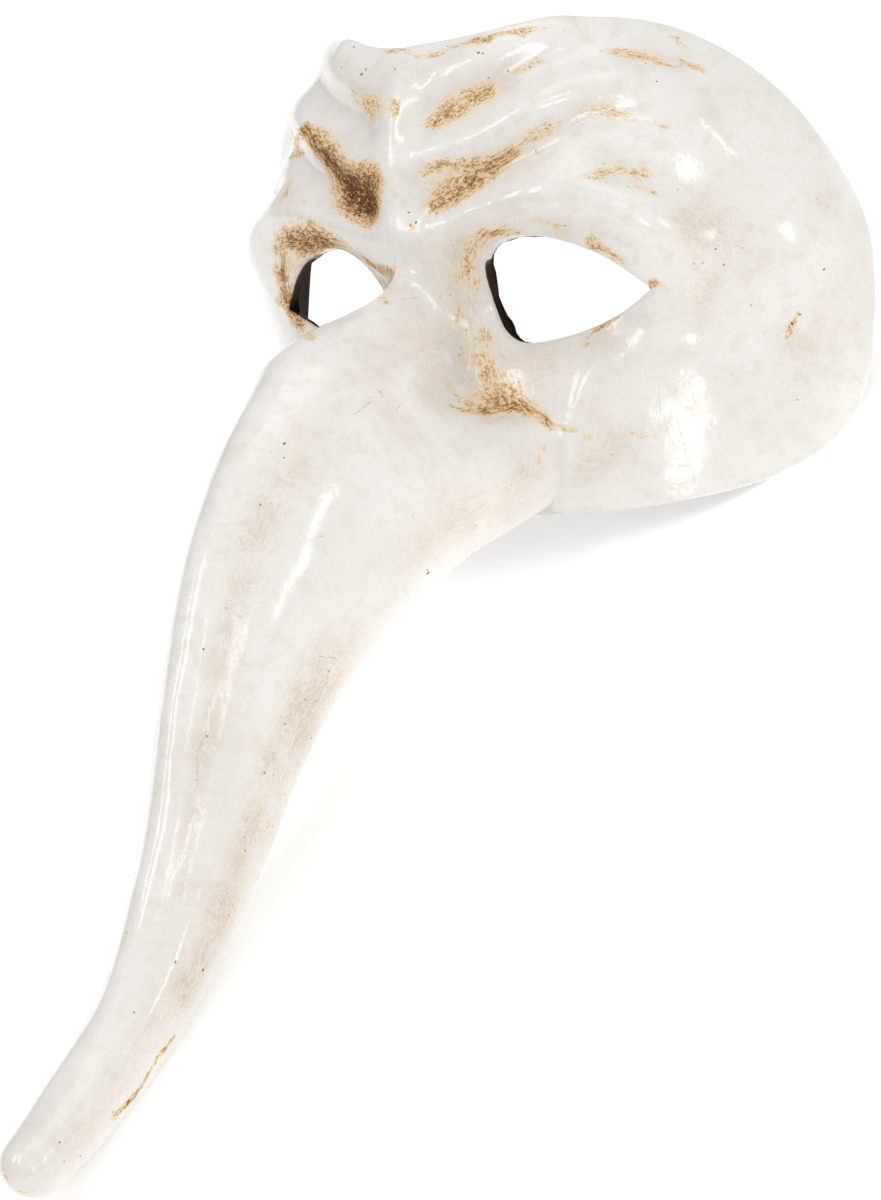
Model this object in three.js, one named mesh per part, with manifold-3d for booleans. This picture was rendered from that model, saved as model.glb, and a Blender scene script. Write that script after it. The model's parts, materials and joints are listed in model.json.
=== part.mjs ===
// Zanni half mask: one papier-mache shell with deep brow wrinkles, two eye holes and a long
// hollow nose that is closed at its tip. The mask lies face up on its two lower cheek corners
// and on the underside of its nose.
import * as THREE from "three";
import Module from "manifold-3d";

// Driving dimensions, in millimetres and degrees. The shell is shaped in the face frame:
// x to the mask's left, y up the face, z out of the face, zero between the eyes.
const WALL = 3.2;
const BACK_EDGE = 2;
const INNER_RELIEF = 0.8;
const INNER_LEAN = 0.4;

// The face, as level sections: height up the face and half width there.
const HALF_WIDTHS = [
  [-60, 80], [-40, 83.5], [-20, 86.5], [0, 87.5], [15, 86],
  [30, 80], [42, 73.5], [52, 66], [60, 58], [66, 50],
];
const FOREHEAD_FRONT = 70;
const FOREHEAD_LEAN = 6;
const CHEEK_SETBACK = 12;
const SECTION_POWER = [1.2, 1.55];

// Half of the rim from the top centre to the bottom centre: angle round the face and height.
const RIM = [
  [0, 57], [20, 60], [40, 63.5], [62, 62], [79, 46], [91.5, 9],
  [85, -23], [66, -40.5], [42, -49], [20, -52], [0, -56],
];
// Half of the line where the nose meets the face, in the same order: sideways and height.
const NOSE_ROOT = [
  [0, 10], [6, 7.5], [10.5, 1], [12.5, -10], [14, -20], [20, -25.5],
  [27, -27], [33, -32.5], [32, -49], [17, -51.5], [0, -52],
];

// Nose sections from the tip to the throat: place along the nose, centre height, centre
// distance out, tilt of the section, half width, half depth and how much wider it is below.
const NOSE = [
  [0.0, -189, 187, 50, 7.2, 7.2, 0],
  [0.1, -180, 175, 48, 8.5, 8.6, 0],
  [0.25, -158, 153.3, 38, 9.5, 10.7, 0.05],
  [0.42, -130.2, 137.5, 28, 12, 14.5, 0.08],
  [0.58, -103.8, 127.5, 25, 14.5, 19, 0.12],
  [0.74, -79.7, 116.7, 29, 18.5, 24.2, 0.18],
  [0.88, -59, 103.3, 40, 23, 28.8, 0.26],
  [1.0, -44, 89.5, 54, 26.5, 32.2, 0.32],
];
const TIP_LENGTH = 7;
// Long ridges and hollows that run down the nose: turn from the top line, rise and spread.
const NOSE_FLUTES = [
  [0, 0.035, 0.21], [0.62, -0.045, 0.17], [1.15, 0.03, 0.21], [1.75, -0.02, 0.21],
];

// Eye socket: centre across and up the face, reach each way and depth.
const SOCKET = { across: 29, up: 1, reach: 22, rise: 14, depth: 12 };
// Wrinkles of the left half, mirrored on the right: each is a row of points with the distance
// round the face, the height, the rise of the surface and the radius of the stroke.
const WRINKLES = [
  [[7, 37, -2.5, 3.5], [15, 39.5, -4, 4], [28, 44, -3.5, 4], [40, 50, -2.5, 3.5],
    [58, 54, -1.2, 4], [80, 53, -1.2, 4], [92, 48, -0.8, 4]],
  [[5, 17, -3, 3.5], [15, 22.5, -5.5, 4.5], [28, 27.5, -5, 4.5], [37, 32, -4, 4],
    [46, 37.5, -2.5, 4], [56, 39, -2, 4], [68, 36.5, -1, 4]],
  [[5, 29, 1, 4], [14, 31.5, 2, 4.5], [27, 36, 2.5, 4.5], [40, 42, 2.5, 4.5],
    [56, 48, 2.5, 5], [70, 47, 2, 5], [80, 39, 2, 5], [84, 30, 1.5, 5]],
  [[10, 50, 1.5, 4], [25, 53.5, 2, 4], [40, 58, 2.5, 4], [58, 61, 2, 4]],
  [[4, 12.5, 1, 4], [12, 15.5, 2, 4.5], [22, 18.5, 3.5, 5], [36, 21, 4, 5.5],
    [49, 19.5, 4.5, 5.5], [58, 15, 4, 5], [64, 9, 2.5, 5]],
  [[48, 26, -1.2, 3], [58, 25.5, -1.6, 3], [67, 21.5, -1, 3]],
  [[92, 43, -1.5, 8], [78, 26, -3, 8], [74, 10, -2.5, 8]],
  [[48, -18, 1, 9], [60, -24, 1.5, 10], [72, -24, 1, 10]],
];
const CENTRE_RIDGE = [[0, 58, 1, 4], [0, 45, 1.5, 4], [0, 30, 1.5, 4], [0, 14, 1, 4]];
// One radian round the face counts as this length in the wrinkles' points.
const ROUND = 80;
const STROKE_STEP = 2;

// Left eye hole seen from the front, from its outer corner over the top and back.
const EYE = [
  [54.5, -0.3], [46, 6.8], [37, 10.8], [29, 12], [22, 10.7], [17.2, 6.5], [15.5, 0],
  [17, -7], [21, -11], [26, -11.6], [34, -9.8], [45, -5.6], [54.5, -0.3],
];
const EYE_CUT = [28, 74];

// Lying pose: turn about the x axis, then the place of the face frame's zero.
const LIE_TURN = 46.2;
const LIE_AT = [0, 123.6, 18.5];
const FLOOR_BLOCK = 400;

// Facets: columns round the shell, and rings in the tip, nose, throat and face.
const COLUMNS = 64;
const OUTER_RINGS = [3, 13, 8, 17];
const INNER_RINGS = [2, 7, 5, 15];

const radians = THREE.MathUtils.degToRad;
const clamp = THREE.MathUtils.clamp;
const between = (low, high, x) => THREE.MathUtils.smoothstep(x, low, high);

// Smooth rise of one column through rows whose first column is the key.
function through(rows, keys, column, x) {
  const last = rows.length - 1;
  const slope = (i) => {
    const from = Math.max(i - 1, 0);
    const to = Math.min(i + 1, last);
    return (rows[to][column] - rows[from][column]) / (keys[to] - keys[from]);
  };
  let i = 0;
  while (i < last - 1 && x >= keys[i + 1]) i += 1;
  const span = keys[i + 1] - keys[i];
  const u = clamp((x - keys[i]) / span, 0, 1);
  return hermite(rows[i][column], slope(i) * span, rows[i + 1][column], slope(i + 1) * span, u);
}

// Cubic from one value to the next with a given slope at each end.
function hermite(start, startSlope, end, endSlope, u) {
  const v = 1 - u;
  return start * v * v * (1 + 2 * u) + startSlope * u * v * v
    + end * u * u * (3 - 2 * u) - endSlope * u * u * v;
}

const keyed = (rows) => rows.map((row) => row[0]);
const evenKeys = (rows) => rows.map((row, i) => i / (rows.length - 1));

const halfWidth = (y) => through(HALF_WIDTHS, keyed(HALF_WIDTHS), 1, y);

// How far the face stands out on its centre line at each height.
const frontAt = (y) => FOREHEAD_FRONT - FOREHEAD_LEAN * between(38, 66, y)
  - CHEEK_SETBACK * (1 - between(-14, 14, y));

// Wrinkle strokes as closely spaced soft dots, so that each adds a smooth ridge or groove.
function strokeDots(points) {
  const lengths = [0];
  for (let i = 1; i < points.length; i += 1) {
    const step = Math.hypot(points[i][0] - points[i - 1][0], points[i][1] - points[i - 1][1]);
    lengths.push(lengths[i - 1] + step);
  }
  const whole = lengths[lengths.length - 1];
  const count = Math.ceil(whole / STROKE_STEP);
  const dots = [];
  for (let i = 0; i <= count; i += 1) {
    const at = (whole * i) / count;
    const [across, up, rise, radius] = [0, 1, 2, 3].map((c) => through(points, lengths, c, at));
    const weight = (rise * whole) / count / (radius * Math.sqrt(2 * Math.PI));
    dots.push({ across, up, weight, radius });
  }
  return dots;
}

const mirrored = (dots) => dots.map((dot) => ({ ...dot, across: -dot.across }));
const LEFT_DOTS = WRINKLES.flatMap(strokeDots);
const DOTS = [...LEFT_DOTS, ...mirrored(LEFT_DOTS), ...strokeDots(CENTRE_RIDGE)];

// Height of the wrinkles and sockets above the plain face.
function reliefAt(across, up) {
  let rise = 0;
  for (const dot of DOTS) {
    const distance = (across - dot.across) ** 2 + (up - dot.up) ** 2;
    rise += dot.weight * Math.exp(-distance / (2 * dot.radius ** 2));
  }
  const socketAcross = (Math.abs(across) - SOCKET.across) / SOCKET.reach;
  const socketUp = (up - SOCKET.up) / SOCKET.rise;
  return rise - SOCKET.depth * Math.exp(-((socketAcross ** 2 + socketUp ** 2) ** 1.3));
}

// A point of the face at an angle round it and a height.
function facePoint(angle, y, relief) {
  const cosine = Math.cos(angle);
  const power = SECTION_POWER[1] + (SECTION_POWER[0] - SECTION_POWER[1]) * between(-18, 12, y);
  const depth = (frontAt(y) - BACK_EDGE) * Math.sign(cosine) * Math.abs(cosine) ** power;
  const rise = relief * reliefAt(ROUND * angle, y);
  return new THREE.Vector3(
    halfWidth(y) * Math.sin(angle) + rise * Math.sin(angle),
    y,
    BACK_EDGE + depth + rise * cosine,
  );
}

// The face between the nose root and the rim; turn runs from -1 to 1 with 0 at the top.
function faceSheet(turn, out, relief) {
  const side = Math.sign(turn);
  const way = Math.abs(turn);
  const rimAngle = side * radians(through(RIM, evenKeys(RIM), 0, way));
  const rimHeight = through(RIM, evenKeys(RIM), 1, way);
  const rootHeight = through(NOSE_ROOT, evenKeys(NOSE_ROOT), 1, way);
  const rootSide = side * through(NOSE_ROOT, evenKeys(NOSE_ROOT), 0, way);
  const rootAngle = Math.asin(clamp(rootSide / halfWidth(rootHeight), -1, 1));
  const angle = rootAngle + (rimAngle - rootAngle) * out;
  return facePoint(angle, rootHeight + (rimHeight - rootHeight) * out, relief);
}

// A point of the nose, from its tip at 0 to the throat at 1.
function noseSheet(turn, along) {
  const [, y, z, tilt, width, depth, pear] = NOSE[0].map((_, c) => through(NOSE, keyed(NOSE), c, along));
  const angle = Math.PI * turn;
  const fade = between(0.05, 0.3, along) * (1 - between(0.75, 1, along));
  let swell = 1;
  for (const [at, rise, spread] of NOSE_FLUTES) {
    swell += fade * rise * Math.exp(-((Math.abs(angle) - at) ** 2) / (2 * spread ** 2));
  }
  const sideways = Math.sin(angle) * (1 - pear * Math.cos(angle)) * width * swell;
  const outwards = Math.cos(angle) * depth * swell;
  const lean = radians(tilt);
  return new THREE.Vector3(sideways, y + outwards * Math.sin(lean), z + outwards * Math.cos(lean));
}

// The rounded end of the nose, from its pole at 0 to the first section at 1.
function tipSheet(turn, out) {
  const centre = new THREE.Vector3(0, NOSE[0][1], NOSE[0][2]);
  const before = new THREE.Vector3(0, NOSE[1][1], NOSE[1][2]);
  const forward = centre.clone().sub(before).normalize();
  const angle = (out * Math.PI) / 2;
  const edge = noseSheet(turn, 0).sub(centre).multiplyScalar(Math.sin(angle));
  return centre.add(edge).addScaledVector(forward, TIP_LENGTH * Math.cos(angle));
}

// The throat joins the nose to its root: smooth at the bridge, creased beside the nostril wing.
function throatSheet(turn, out, relief) {
  const start = noseSheet(turn, 1);
  const end = faceSheet(turn, 0, relief);
  const reach = start.distanceTo(end);
  const startWay = start.clone().sub(noseSheet(turn, 0.98)).normalize();
  const faceWay = faceSheet(turn, 0.04, relief).sub(end).normalize();
  const chord = end.clone().sub(start).normalize();
  const way = Math.abs(turn);
  const crease = 0.45 * between(0.08, 0.3, way) + 0.55 * between(0.35, 0.5, way);
  const endWay = faceWay.lerp(chord, crease).normalize();
  const mix = (axis) => hermite(start[axis], startWay[axis] * reach, end[axis], endWay[axis] * reach, out);
  return new THREE.Vector3(mix("x"), mix("y"), mix("z"));
}

// The whole sheet: tip from 0 to 1, nose to 2, throat to 3 and face to 4.
function sheet(turn, place, relief = 1) {
  if (place <= 1) return tipSheet(turn, place);
  if (place <= 2) return noseSheet(turn, place - 1);
  if (place <= 3) return throatSheet(turn, place - 2, relief);
  return faceSheet(turn, place - 3, relief);
}

// The inner skin lies one wall inside the sheet. Its wrinkles are softer, and softer ones
// still give the direction of the wall, so that it never folds over behind a ridge.
function innerSheet(turn, place) {
  const small = 0.01;
  const round = sheet(turn + small, place, INNER_LEAN).sub(sheet(turn - small, place, INNER_LEAN));
  const ahead = sheet(turn, Math.min(place + small, 4), INNER_LEAN);
  const along = ahead.sub(sheet(turn, place - small, INNER_LEAN));
  const inward = along.cross(round).normalize();
  return sheet(turn, place, INNER_RELIEF).addScaledVector(inward, WALL);
}

// Ring places for a sheet, with the pole left out.
function ringPlaces(rings) {
  return rings.flatMap((count, part) => Array.from({ length: count }, (_, i) => part + (i + 1) / count));
}

// Closed shell of the outer skin, the rim and the inner skin.
function shellGeometry() {
  const positions = [];
  const index = [];
  const addRing = (place, skin) => {
    const first = positions.length / 3;
    for (let i = 0; i < COLUMNS; i += 1) positions.push(...skin(-1 + (2 * i) / COLUMNS, place));
    return first;
  };
  const span = (p, q) => Math.hypot(...[0, 1, 2].map((c) => positions[3 * p + c] - positions[3 * q + c]));
  const addBand = (a, b) => {
    for (let i = 0; i < COLUMNS; i += 1) {
      const j = (i + 1) % COLUMNS;
      const [p, q, r, s] = [a + i, a + j, b + j, b + i];
      if (span(p, r) < span(q, s)) index.push(p, q, r, p, r, s);
      else index.push(p, q, s, q, r, s);
    }
  };
  const addCap = (pole, ring, first) => {
    const centre = positions.length / 3;
    positions.push(...pole);
    for (let i = 0; i < COLUMNS; i += 1) {
      const j = (i + 1) % COLUMNS;
      index.push(centre, ring + (first ? j : i), ring + (first ? i : j));
    }
  };
  const outer = ringPlaces(OUTER_RINGS).map((place) => addRing(place, sheet));
  const inner = ringPlaces(INNER_RINGS).map((place) => addRing(place, innerSheet));
  const loops = [...outer, ...inner.reverse()];
  for (let i = 1; i < loops.length; i += 1) addBand(loops[i - 1], loops[i]);
  const pole = tipSheet(0, 0);
  const inwards = tipSheet(0, 1).add(tipSheet(1, 1)).multiplyScalar(0.5).sub(pole).normalize();
  addCap(pole, loops[0], true);
  addCap(pole.clone().addScaledVector(inwards, WALL), loops[loops.length - 1], false);
  const geometry = new THREE.BufferGeometry();
  geometry.setAttribute("position", new THREE.Float32BufferAttribute(positions, 3));
  geometry.setIndex(index);
  return geometry;
}

// Straight plug with the outline of one eye hole; side is 1 for the left eye, -1 for the right.
function eyePlug(side) {
  const points = EYE.map(([x, y]) => new THREE.Vector2(side * x, y));
  const outline = new THREE.Shape(new THREE.SplineCurve(points).getPoints(36));
  const plug = new THREE.ExtrudeGeometry(outline, { depth: EYE_CUT[1] - EYE_CUT[0], bevelEnabled: false });
  return plug.translate(0, 0, EYE_CUT[0]);
}

// Turns the geometry from the face frame into the lying pose.
function lying(geometry) {
  return geometry.rotateX(radians(LIE_TURN)).translate(...LIE_AT);
}

const wasm = await Module();
wasm.setup();

// Vertices that share a place become one, so that the mesh is closed for joining and cutting.
function toSolid(geometry) {
  const place = geometry.getAttribute("position");
  const corners = geometry.index ? Array.from(geometry.index.array) : [...Array(place.count).keys()];
  const known = new Map();
  const vertices = [];
  const triangles = corners.map((corner) => {
    const point = [place.getX(corner), place.getY(corner), place.getZ(corner)];
    const key = point.map((value) => Math.round(value * 1e4)).join(" ");
    if (!known.has(key)) {
      known.set(key, vertices.length / 3);
      vertices.push(...point);
    }
    return known.get(key);
  });
  return new wasm.Manifold(new wasm.Mesh({
    numProp: 3,
    vertProperties: Float32Array.from(vertices),
    triVerts: Uint32Array.from(triangles),
  }));
}

function toGeometry(solid) {
  const mesh = solid.getMesh();
  const geometry = new THREE.BufferGeometry();
  geometry.setAttribute("position", new THREE.BufferAttribute(mesh.vertProperties, 3));
  geometry.setIndex(new THREE.BufferAttribute(mesh.triVerts, 1));
  geometry.computeVertexNormals();
  return geometry;
}

// The block below the surface that the mask lies on: cutting with it leaves small flat spots.
function floorBlock() {
  return new THREE.BoxGeometry(FLOOR_BLOCK, 2 * FLOOR_BLOCK, FLOOR_BLOCK).translate(0, 0, -FLOOR_BLOCK / 2);
}

const shell = toSolid(lying(shellGeometry()))
  .subtract(toSolid(lying(eyePlug(1))))
  .subtract(toSolid(lying(eyePlug(-1))))
  .subtract(toSolid(floorBlock()));

const mask = new THREE.Mesh(
  toGeometry(shell),
  new THREE.MeshStandardMaterial({ color: 0xebe7df, roughness: 0.3, metalness: 0 }),
);
mask.name = "mask";

const part = new THREE.Group();
part.add(mask);

export default part;
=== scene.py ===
import json
import math

import bmesh
import bpy
import numpy as np
from mathutils import Matrix, Vector

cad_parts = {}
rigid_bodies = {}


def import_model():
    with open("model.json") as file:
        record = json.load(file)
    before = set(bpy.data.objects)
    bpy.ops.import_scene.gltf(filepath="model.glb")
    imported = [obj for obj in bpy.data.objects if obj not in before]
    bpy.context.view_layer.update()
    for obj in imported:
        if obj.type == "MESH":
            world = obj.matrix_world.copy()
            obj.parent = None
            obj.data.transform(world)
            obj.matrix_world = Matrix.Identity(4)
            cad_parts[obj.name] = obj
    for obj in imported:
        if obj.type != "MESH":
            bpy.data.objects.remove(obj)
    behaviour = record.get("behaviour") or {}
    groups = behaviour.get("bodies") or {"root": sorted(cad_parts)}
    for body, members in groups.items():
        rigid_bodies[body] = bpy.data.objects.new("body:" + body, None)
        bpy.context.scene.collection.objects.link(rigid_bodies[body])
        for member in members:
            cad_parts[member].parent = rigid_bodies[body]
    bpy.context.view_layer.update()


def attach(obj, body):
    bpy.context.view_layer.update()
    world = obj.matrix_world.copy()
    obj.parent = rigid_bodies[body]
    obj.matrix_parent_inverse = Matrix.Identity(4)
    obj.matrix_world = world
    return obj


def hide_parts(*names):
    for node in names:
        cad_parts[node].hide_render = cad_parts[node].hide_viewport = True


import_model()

# The shell is shaped in the face frame, in millimetres: x to the mask's left, y up the face,
# z out of the face, zero between the eyes. The row frame holds it lying face up.
# A turn runs round the face and round the nose: 0 at the top, -1 and 1 at the bottom.
WALL = 3.2

# From its front to its back edge the face falls as a power of the cosine of the angle round it.
# The brow and the jaw stand back a little, and the power drops towards the brow.
BACK_EDGE, FRONT = 2.0, 70
BROW_BACK, JAW_BACK = 6, 12
JAW_POWER, POWER_DROP = 1.55, 0.35

# Half width of the face, as (y, half width).
HALF_WIDTHS = [
    (-60, 80), (-40, 83.5), (-20, 86.5), (0, 87.5), (15, 86),
    (30, 80), (42, 73.5), (52, 66), (60, 58), (66, 50),
]

# At even turns from 0 to 1: the rim as (degrees round the face, y), the root of the nose as (x, y).
RIM = [
    (0, 57), (20, 60), (40, 63.5), (62, 62), (79, 46), (91.5, 9),
    (85, -23), (66, -40.5), (42, -49), (20, -52), (0, -56),
]
NOSE_ROOT = [
    (0, 10), (6, 7.5), (10.5, 1), (12.5, -10), (14, -20), (20, -25.5),
    (27, -27), (33, -32.5), (32, -49), (17, -51.5), (0, -52),
]

# Rings of the nose from its tip, as (share of the way, y, z, tilt in degrees, half width, half depth,
# how pear-shaped), and its flutes as (angle from the top, rise, spread).
NOSE = [
    (0.0, -189, 187, 50, 7.2, 7.2, 0),
    (0.1, -180, 175, 48, 8.5, 8.6, 0),
    (0.25, -158, 153.3, 38, 9.5, 10.7, 0.05),
    (0.42, -130.2, 137.5, 28, 12, 14.5, 0.08),
    (0.58, -103.8, 127.5, 25, 14.5, 19, 0.12),
    (0.74, -79.7, 116.7, 29, 18.5, 24.2, 0.18),
    (0.88, -59, 103.3, 40, 23, 28.8, 0.26),
    (1.0, -44, 89.5, 54, 26.5, 32.2, 0.32),
]
TIP_LENGTH = 7.0
NOSE_FLUTES = [(0, 0.035, 0.21), (0.62, -0.045, 0.17), (1.15, 0.03, 0.21), (1.75, -0.02, 0.21)]

# Ridges and grooves of the left half, which the right half mirrors, as strokes of (across, up, rise,
# radius). Across is a length round the face, at a radius of ROUND. The eye sockets are sunk.
WRINKLES = [
    [(7, 37, -2.5, 3.5), (15, 39.5, -4, 4), (28, 44, -3.5, 4), (40, 50, -2.5, 3.5),
     (58, 54, -1.2, 4), (80, 53, -1.2, 4), (92, 48, -0.8, 4)],
    [(5, 17, -3, 3.5), (15, 22.5, -5.5, 4.5), (28, 27.5, -5, 4.5), (37, 32, -4, 4),
     (46, 37.5, -2.5, 4), (56, 39, -2, 4), (68, 36.5, -1, 4)],
    [(5, 29, 1, 4), (14, 31.5, 2, 4.5), (27, 36, 2.5, 4.5), (40, 42, 2.5, 4.5),
     (56, 48, 2.5, 5), (70, 47, 2, 5), (80, 39, 2, 5), (84, 30, 1.5, 5)],
    [(10, 50, 1.5, 4), (25, 53.5, 2, 4), (40, 58, 2.5, 4), (58, 61, 2, 4)],
    [(4, 12.5, 1, 4), (12, 15.5, 2, 4.5), (22, 18.5, 3.5, 5), (36, 21, 4, 5.5),
     (49, 19.5, 4.5, 5.5), (58, 15, 4, 5), (64, 9, 2.5, 5)],
    [(48, 26, -1.2, 3), (58, 25.5, -1.6, 3), (67, 21.5, -1, 3)],
    [(92, 43, -1.5, 8), (78, 26, -3, 8), (74, 10, -2.5, 8)],
    [(48, -18, 1, 9), (60, -24, 1.5, 10), (72, -24, 1, 10)],
    [(34.4, -33, 0.45, 1.3), (34, -41, 0.55, 1.4), (33.4, -50, 0.4, 1.5)],
    [(40.5, -16, 0.3, 1.2), (38, -23, 0.45, 1.3), (36.4, -31, 0.4, 1.2)],
]
CENTRE_RIDGE = [(0, 58, 1, 4), (0, 45, 1.5, 4), (0, 30, 1.5, 4), (0, 14, 1, 4)]
ROUND = 80.0
SOCKET_AT, SOCKET_REACH, SOCKET_DEPTH = (29, 1), (22, 14), 12

# Unevenness, as (height, number of waves, shortest and longest wavelength, seed), and a lump at one
# corner of the rim.
BROAD_WAVES = (0.2, 40, 14, 40, 3)
FINE_WAVES = (0.03, 50, 4, 10, 4)
NOSE_WAVES = (0.12, 30, 6, 18, 5)
LINING_WAVES = (0.15, 40, 8, 30, 21)
HOLE_WAVES = (0.12, 12, 3, 9, 11)
LUMP_AT, LUMP_RISE, LUMP_RADIUS = (-19, 59, 62), 1.7, 3.2

# Outline of the left eye hole, as (x, y), and the places beside the nose where the lining
# reaches into the hole, as (y, how far). Points outside the box NEAR_EYE have the level FAR_LEVEL.
EYE = [
    (54.5, -0.3), (46, 6.8), (37, 10.8), (29, 12), (22, 10.7), (17.2, 6.5), (15.5, 0),
    (17, -7), (21, -11), (26, -11.6), (34, -9.8), (45, -5.6), (54.5, -0.3),
]
EYE_MIDDLE, EYE_REACH = (33, 0.2), (20, 11.5)
LINING_TONGUES = [(-7, 1.7), (-1.5, 0.7), (3.5, 1.1)]
NEAR_EYE = [(8, 64), (-22, 22), (20, 200)]
FAR_LEVEL = 99.0

# The rounded edge of a hole goes EDGE_SHARE of the way to the outline, and the wall as much of the way
# to the lining. STEEPEST and MOST_FALL bound the slope that the edge keeps to. The rim is a little
# flatter than a half circle.
HOLE_ROUND, EDGE_SHARE, STEEPEST, MOST_FALL = 0.7, 0.9, 0.35, 1.6
RIM_FLATNESS = 0.9

# How far inside a point counts runs from 0 on the lacquer to 1 on the lining. It is EDGE_INSIDE at the
# end of a hole's rounded edge, and faces are lined where it is over LINED. Beside the nose, where the
# lacquer runs over a hole's upper edge, OVERRUN of it is taken away.
EDGE_INSIDE, LINED, OVERRUN = 0.15, 0.6, 0.85

# How the face frame lies in the row frame.
LIE_TURN = math.radians(46.2)
LIE_AT = np.array([0, 123.6, 18.5])
LIE_MATRIX = np.array([
    [1, 0, 0],
    [0, math.cos(LIE_TURN), -math.sin(LIE_TURN)],
    [0, math.sin(LIE_TURN), math.cos(LIE_TURN)],
])

# Mesh density, and the small step that gives directions along a sheet.
COLUMNS, INNER_COLUMNS = 336, 168
TIP_ROWS, NOSE_ROWS, THROAT_ROWS, FACE_ROWS = 8, 72, 34, 112
INNER_NOSE_ROWS, INNER_THROAT_ROWS, INNER_FACE_ROWS = 30, 12, 44
RIM_ROWS, HOLE_ROWS, OUTLINE_STEPS = 7, 4, 12
SMALL = 0.01

# Shares of the relief that the lining shows and that its direction from the outer skin follows.
LINING_RELIEF, WAY_RELIEF = 0.8, 0.4
EVENING_PASSES = 40


def smooth(low, high, x):
    """Smooth step from 0 at low to 1 at high."""
    u = np.clip((x - low) / (high - low), 0, 1)
    return u * u * (3 - 2 * u)


def unit(v):
    return v / np.maximum(np.linalg.norm(v, axis=-1, keepdims=True), 1e-9)


def hermite(start, start_slope, end, end_slope, u):
    v = 1 - u
    return (start * v * v * (1 + 2 * u) + start_slope * u * v * v
            + end * u * u * (3 - 2 * u) - end_slope * u * u * v)


def spline(keys, values, x):
    keys, values = np.asarray(keys, float), np.asarray(values, float)
    slopes = np.empty_like(values)
    slopes[1:-1] = (values[2:] - values[:-2]) / (keys[2:] - keys[:-2])
    slopes[0] = (values[1] - values[0]) / (keys[1] - keys[0])
    slopes[-1] = (values[-1] - values[-2]) / (keys[-1] - keys[-2])
    i = np.clip(np.searchsorted(keys, x, side="right") - 1, 0, len(keys) - 2)
    span = keys[i + 1] - keys[i]
    u = np.clip((x - keys[i]) / span, 0, 1)
    return hermite(values[i], slopes[i] * span, values[i + 1], slopes[i + 1] * span, u)


def column(rows, index, x, even=False):
    """One column of a table at x, which is the first column or runs evenly from 0 to 1."""
    table = np.asarray(rows, float)
    keys = np.linspace(0, 1, len(table)) if even else table[:, 0]
    return spline(keys, table[:, index], x)


def half_width(y):
    return column(HALF_WIDTHS, 1, y)


def front_at(y):
    """How far forward the middle of the face stands."""
    return FRONT - BROW_BACK * smooth(38, 66, y) - JAW_BACK * (1 - smooth(-14, 14, y))


def stroke_dots(points, step=1.6):
    """Dots of a wrinkle as (across, up, rise, radius), set close together."""
    table = np.asarray(points, float)
    lengths = np.concatenate([[0], np.cumsum(np.hypot(*np.diff(table[:, :2], axis=0).T))])
    count = int(np.ceil(lengths[-1] / step))
    at = np.linspace(0, lengths[-1], count + 1)
    dots = np.stack([spline(lengths, table[:, k], at) for k in range(4)], 1)
    dots[:, 2] *= lengths[-1] / count / (dots[:, 3] * math.sqrt(2 * math.pi))
    return dots


left_dots = np.concatenate([stroke_dots(points) for points in WRINKLES])
WRINKLE_DOTS = np.concatenate([left_dots, left_dots * [-1, 1, 1, 1], stroke_dots(CENTRE_RIDGE)])


def relief_at(across, up):
    """Rise of the wrinkles and fall of the eye sockets, across being a length round the face."""
    rise = np.zeros(np.shape(across))
    for x, y, weight, radius in WRINKLE_DOTS:
        rise += weight * np.exp(-((across - x) ** 2 + (up - y) ** 2) / (2 * radius ** 2))
    socket = (((np.abs(across) - SOCKET_AT[0]) / SOCKET_REACH[0]) ** 2
              + ((up - SOCKET_AT[1]) / SOCKET_REACH[1]) ** 2)
    return rise - SOCKET_DEPTH * np.exp(-(socket ** 1.3))


def face_point(angle, y, relief):
    """Point of the face at an angle from its middle, with a share of the relief."""
    cosine = np.cos(angle)
    power = JAW_POWER - POWER_DROP * smooth(-18, 12, y)
    depth = (front_at(y) - BACK_EDGE) * np.sign(cosine) * np.abs(cosine) ** power
    rise = relief * relief_at(ROUND * angle, y)
    return np.stack([
        (half_width(y) + rise) * np.sin(angle),
        y + 0 * angle,
        BACK_EDGE + depth + rise * cosine,
    ], -1)


def face_sheet(turn, out, relief):
    """The face, from the root of the nose at out 0 to the rim at out 1."""
    side, way = np.sign(turn), np.abs(turn)
    rim_angle = side * np.radians(column(RIM, 0, way, True))
    rim_height = column(RIM, 1, way, True)
    root_height = column(NOSE_ROOT, 1, way, True)
    root_side = side * column(NOSE_ROOT, 0, way, True)
    root_angle = np.arcsin(np.clip(root_side / half_width(root_height), -1, 1))
    angle = root_angle + (rim_angle - root_angle) * out
    return face_point(angle, root_height + (rim_height - root_height) * out, relief)


def nose_sheet(turn, along):
    """The fluted nose, from its tip at along 0 to the throat at along 1."""
    y, z, tilt, width, depth, pear = (column(NOSE, k, along) for k in range(1, 7))
    angle = np.pi * turn
    fade = smooth(0.05, 0.3, along) * (1 - smooth(0.75, 1, along))
    swell = 1 + sum(fade * rise * np.exp(-((np.abs(angle) - at) ** 2) / (2 * spread ** 2))
                    for at, rise, spread in NOSE_FLUTES)
    sideways = np.sin(angle) * (1 - pear * np.cos(angle)) * width * swell
    outwards = np.cos(angle) * depth * swell
    lean = np.radians(tilt)
    return np.stack([sideways, y + outwards * np.sin(lean), z + outwards * np.cos(lean)], -1)


def tip_sheet(turn, out):
    """The rounded tip, from its end at out 0 to the first ring of the nose at out 1."""
    centre, before = np.array(NOSE[0][1:3]), np.array(NOSE[1][1:3])
    forward = np.array([0, *((centre - before) / np.linalg.norm(centre - before))])
    middle = np.array([0, *centre])
    angle = out * np.pi / 2
    edge = nose_sheet(turn, 0 * turn) - middle
    return middle + edge * np.sin(angle) + forward * TIP_LENGTH * np.cos(angle)


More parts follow.
